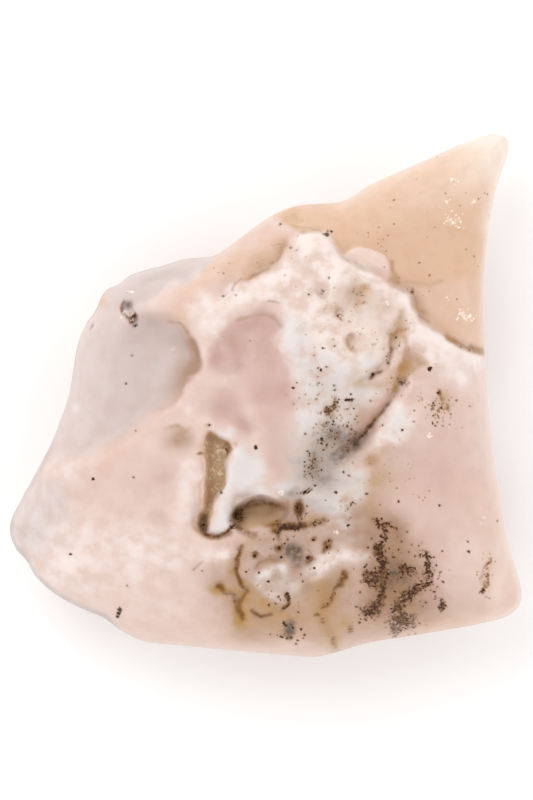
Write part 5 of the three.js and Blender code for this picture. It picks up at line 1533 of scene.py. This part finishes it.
def tumbled_opal():
    """Common opal, tumbled to a waxy polish: soft broad highlights, and light that sinks in a little."""
    material = bpy.data.materials.new("tumbled_pink_opal")
    material.use_nodes = True
    tree = material.node_tree
    place = add_node(tree, "ShaderNodeTexCoord", {}).outputs["Object"]
    grain = {
        size: add_node(
            tree, "ShaderNodeTexNoise", {"Vector": place, "Scale": 1 / (size * MM), "Detail": 4.0}
        ).outputs["Fac"]
        for size in (CLOUD, CURD, CRUMB, DUST)
    }
    colour = add_node(
        tree, "ShaderNodeMix",
        {0: grain[CLOUD], 6: linear(PEACH[0]), 7: linear(PEACH[1])},
        data_type="RGBA",
    )
    tint = colour.outputs[2]
    for kind, (hex_colour, size, breakup, low, high) in TINTS.items():
        mask = add_node(tree, "ShaderNodeAttribute", {}, attribute_name=kind).outputs["Fac"]
        gain = add_node(
            tree, "ShaderNodeMath", {0: grain[size], 1: breakup, 2: 1 - breakup / 2}, operation="MULTIPLY_ADD"
        ).outputs[0]
        ragged = add_node(tree, "ShaderNodeMath", {0: mask, 1: gain}, operation="MULTIPLY").outputs[0]
        cover = add_node(
            tree, "ShaderNodeMapRange", {"Value": ragged, "From Min": low, "From Max": high},
            interpolation_type="SMOOTHSTEP",
        ).outputs[0]
        tint = add_node(
            tree, "ShaderNodeMix", {0: cover, 6: tint, 7: linear(hex_colour)}, data_type="RGBA"
        ).outputs[2]
    # Painted shade where the curd grain is low, which is where the wrinkles made from the same grain dip, and
    # faint painted light where it is high.
    curd = add_node(tree, "ShaderNodeAttribute", {}, attribute_name="curd").outputs["Fac"]
    contrast = add_node(
        tree, "ShaderNodeMapRange", {"Value": curd, "To Min": MOTTLE, "To Max": CURD_MOTTLE}
    ).outputs[0]
    wrinkle_shading = add_node(
        tree, "ShaderNodeMapRange",
        {"Value": grain[CURD], "From Min": MOTTLE_RANGE[0], "From Max": MOTTLE_RANGE[1]},
        interpolation_type="SMOOTHSTEP",
    ).outputs[0]
    shade = add_node(
        tree, "ShaderNodeMix", {0: wrinkle_shading, 6: linear(HOLLOW_SHADE), 7: RISE_LIGHT}, data_type="RGBA"
    ).outputs[2]
    tint = add_node(
        tree, "ShaderNodeMix", {0: contrast, 6: tint, 7: shade}, data_type="RGBA", blend_type="MULTIPLY"
    ).outputs[2]
    floors = add_node(tree, "ShaderNodeAttribute", {}, attribute_name="clay").outputs["Fac"]
    loops = add_node(
        tree, "ShaderNodeTexNoise",
        {"Vector": place, "Scale": 1 / (SQUIGGLE_SIZE * MM), "Detail": 0.0, "Distortion": 1.0},
    ).outputs["Fac"]
    line = add_node(
        tree, "ShaderNodeMath", {0: loops, 1: 0.5, 2: SQUIGGLE_WIDTH}, operation="COMPARE"
    ).outputs[0]
    sparse = add_node(
        tree, "ShaderNodeMapRange",
        {"Value": grain[CURD], "From Min": SQUIGGLE_RANGE[0], "From Max": SQUIGGLE_RANGE[1],
         "To Max": SQUIGGLE_COVER},
    ).outputs[0]
    line = add_node(tree, "ShaderNodeMath", {0: line, 1: sparse}, operation="MULTIPLY").outputs[0]
    crumb = add_node(tree, "ShaderNodeAttribute", {}, attribute_name="crumb").outputs["Fac"]
    squiggle = add_node(tree, "ShaderNodeMath", {0: line, 1: crumb}, operation="MULTIPLY").outputs[0]
    tint = add_node(
        tree, "ShaderNodeMix", {0: squiggle, 6: tint, 7: linear(SQUIGGLE)}, data_type="RGBA"
    ).outputs[2]
    for kind, (core, halo, reach, most) in GROWTHS.items():
        inside = add_node(tree, "ShaderNodeAttribute", {}, attribute_name=kind).outputs["Fac"]
        ragged = add_node(
            tree, "ShaderNodeMath", {0: grain[DUST], 1: SPECK_FRAY, 2: inside}, operation="MULTIPLY_ADD"
        ).outputs[0]
        for hex_colour, low, high, cover in (
            (halo, HALO_EDGE[0] - reach, HALO_EDGE[1], most), (core, *SPECK_EDGE, 1.0),
        ):
            share = add_node(
                tree, "ShaderNodeMapRange",
                {"Value": ragged, "From Min": low, "From Max": high, "To Max": cover},
            ).outputs[0]
            tint = add_node(
                tree, "ShaderNodeMix", {0: share, 6: tint, 7: linear(hex_colour)}, data_type="RGBA"
            ).outputs[2]
    shader = tree.nodes["Principled BSDF"]
    tree.links.new(tint, shader.inputs["Base Color"])
    shader.inputs["IOR"].default_value = OPAL_IOR
    shader.inputs["Specular IOR Level"].default_value = OPAL_SHINE
    shader.inputs["Subsurface Weight"].default_value = SINK
    shader.inputs["Subsurface Radius"].default_value = SPREAD
    shader.inputs["Subsurface Scale"].default_value = SPREAD_SIZE * MM
    crumbs = add_node(tree, "ShaderNodeMath", {0: floors, 1: grain[CRUMB]}, operation="MULTIPLY").outputs[0]
    folds = add_node(
        tree, "ShaderNodeMath", {0: curd, 1: CURD_WRINKLES, 2: SKIN_WRINKLES}, operation="MULTIPLY_ADD"
    ).outputs[0]
    relief = add_node(
        tree, "ShaderNodeMath", {0: folds, 1: grain[CURD], 2: crumbs}, operation="MULTIPLY_ADD"
    ).outputs[0]
    waves = add_node(
        tree, "ShaderNodeBump",
        {"Height": relief, "Strength": WRINKLE_STRENGTH, "Distance": WRINKLE_HEIGHT * MM},
    ).outputs[0]
    dull = add_node(
        tree, "ShaderNodeMapRange", {"Value": floors, "To Min": POLISH, "To Max": RAW_SURFACE}
    ).outputs[0]
    tree.links.new(dull, shader.inputs["Roughness"])
    tree.links.new(waves, shader.inputs["Normal"])
    return material


stone, points, rim_height, shift = build_stone()
write_marks(stone.data, points, rim_height)
stone.data.materials.append(tumbled_opal())
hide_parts(NODE)
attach(stone, "root")
floor_and_light()
camera(shift)
bpy.context.scene.view_settings.view_transform = "Standard"
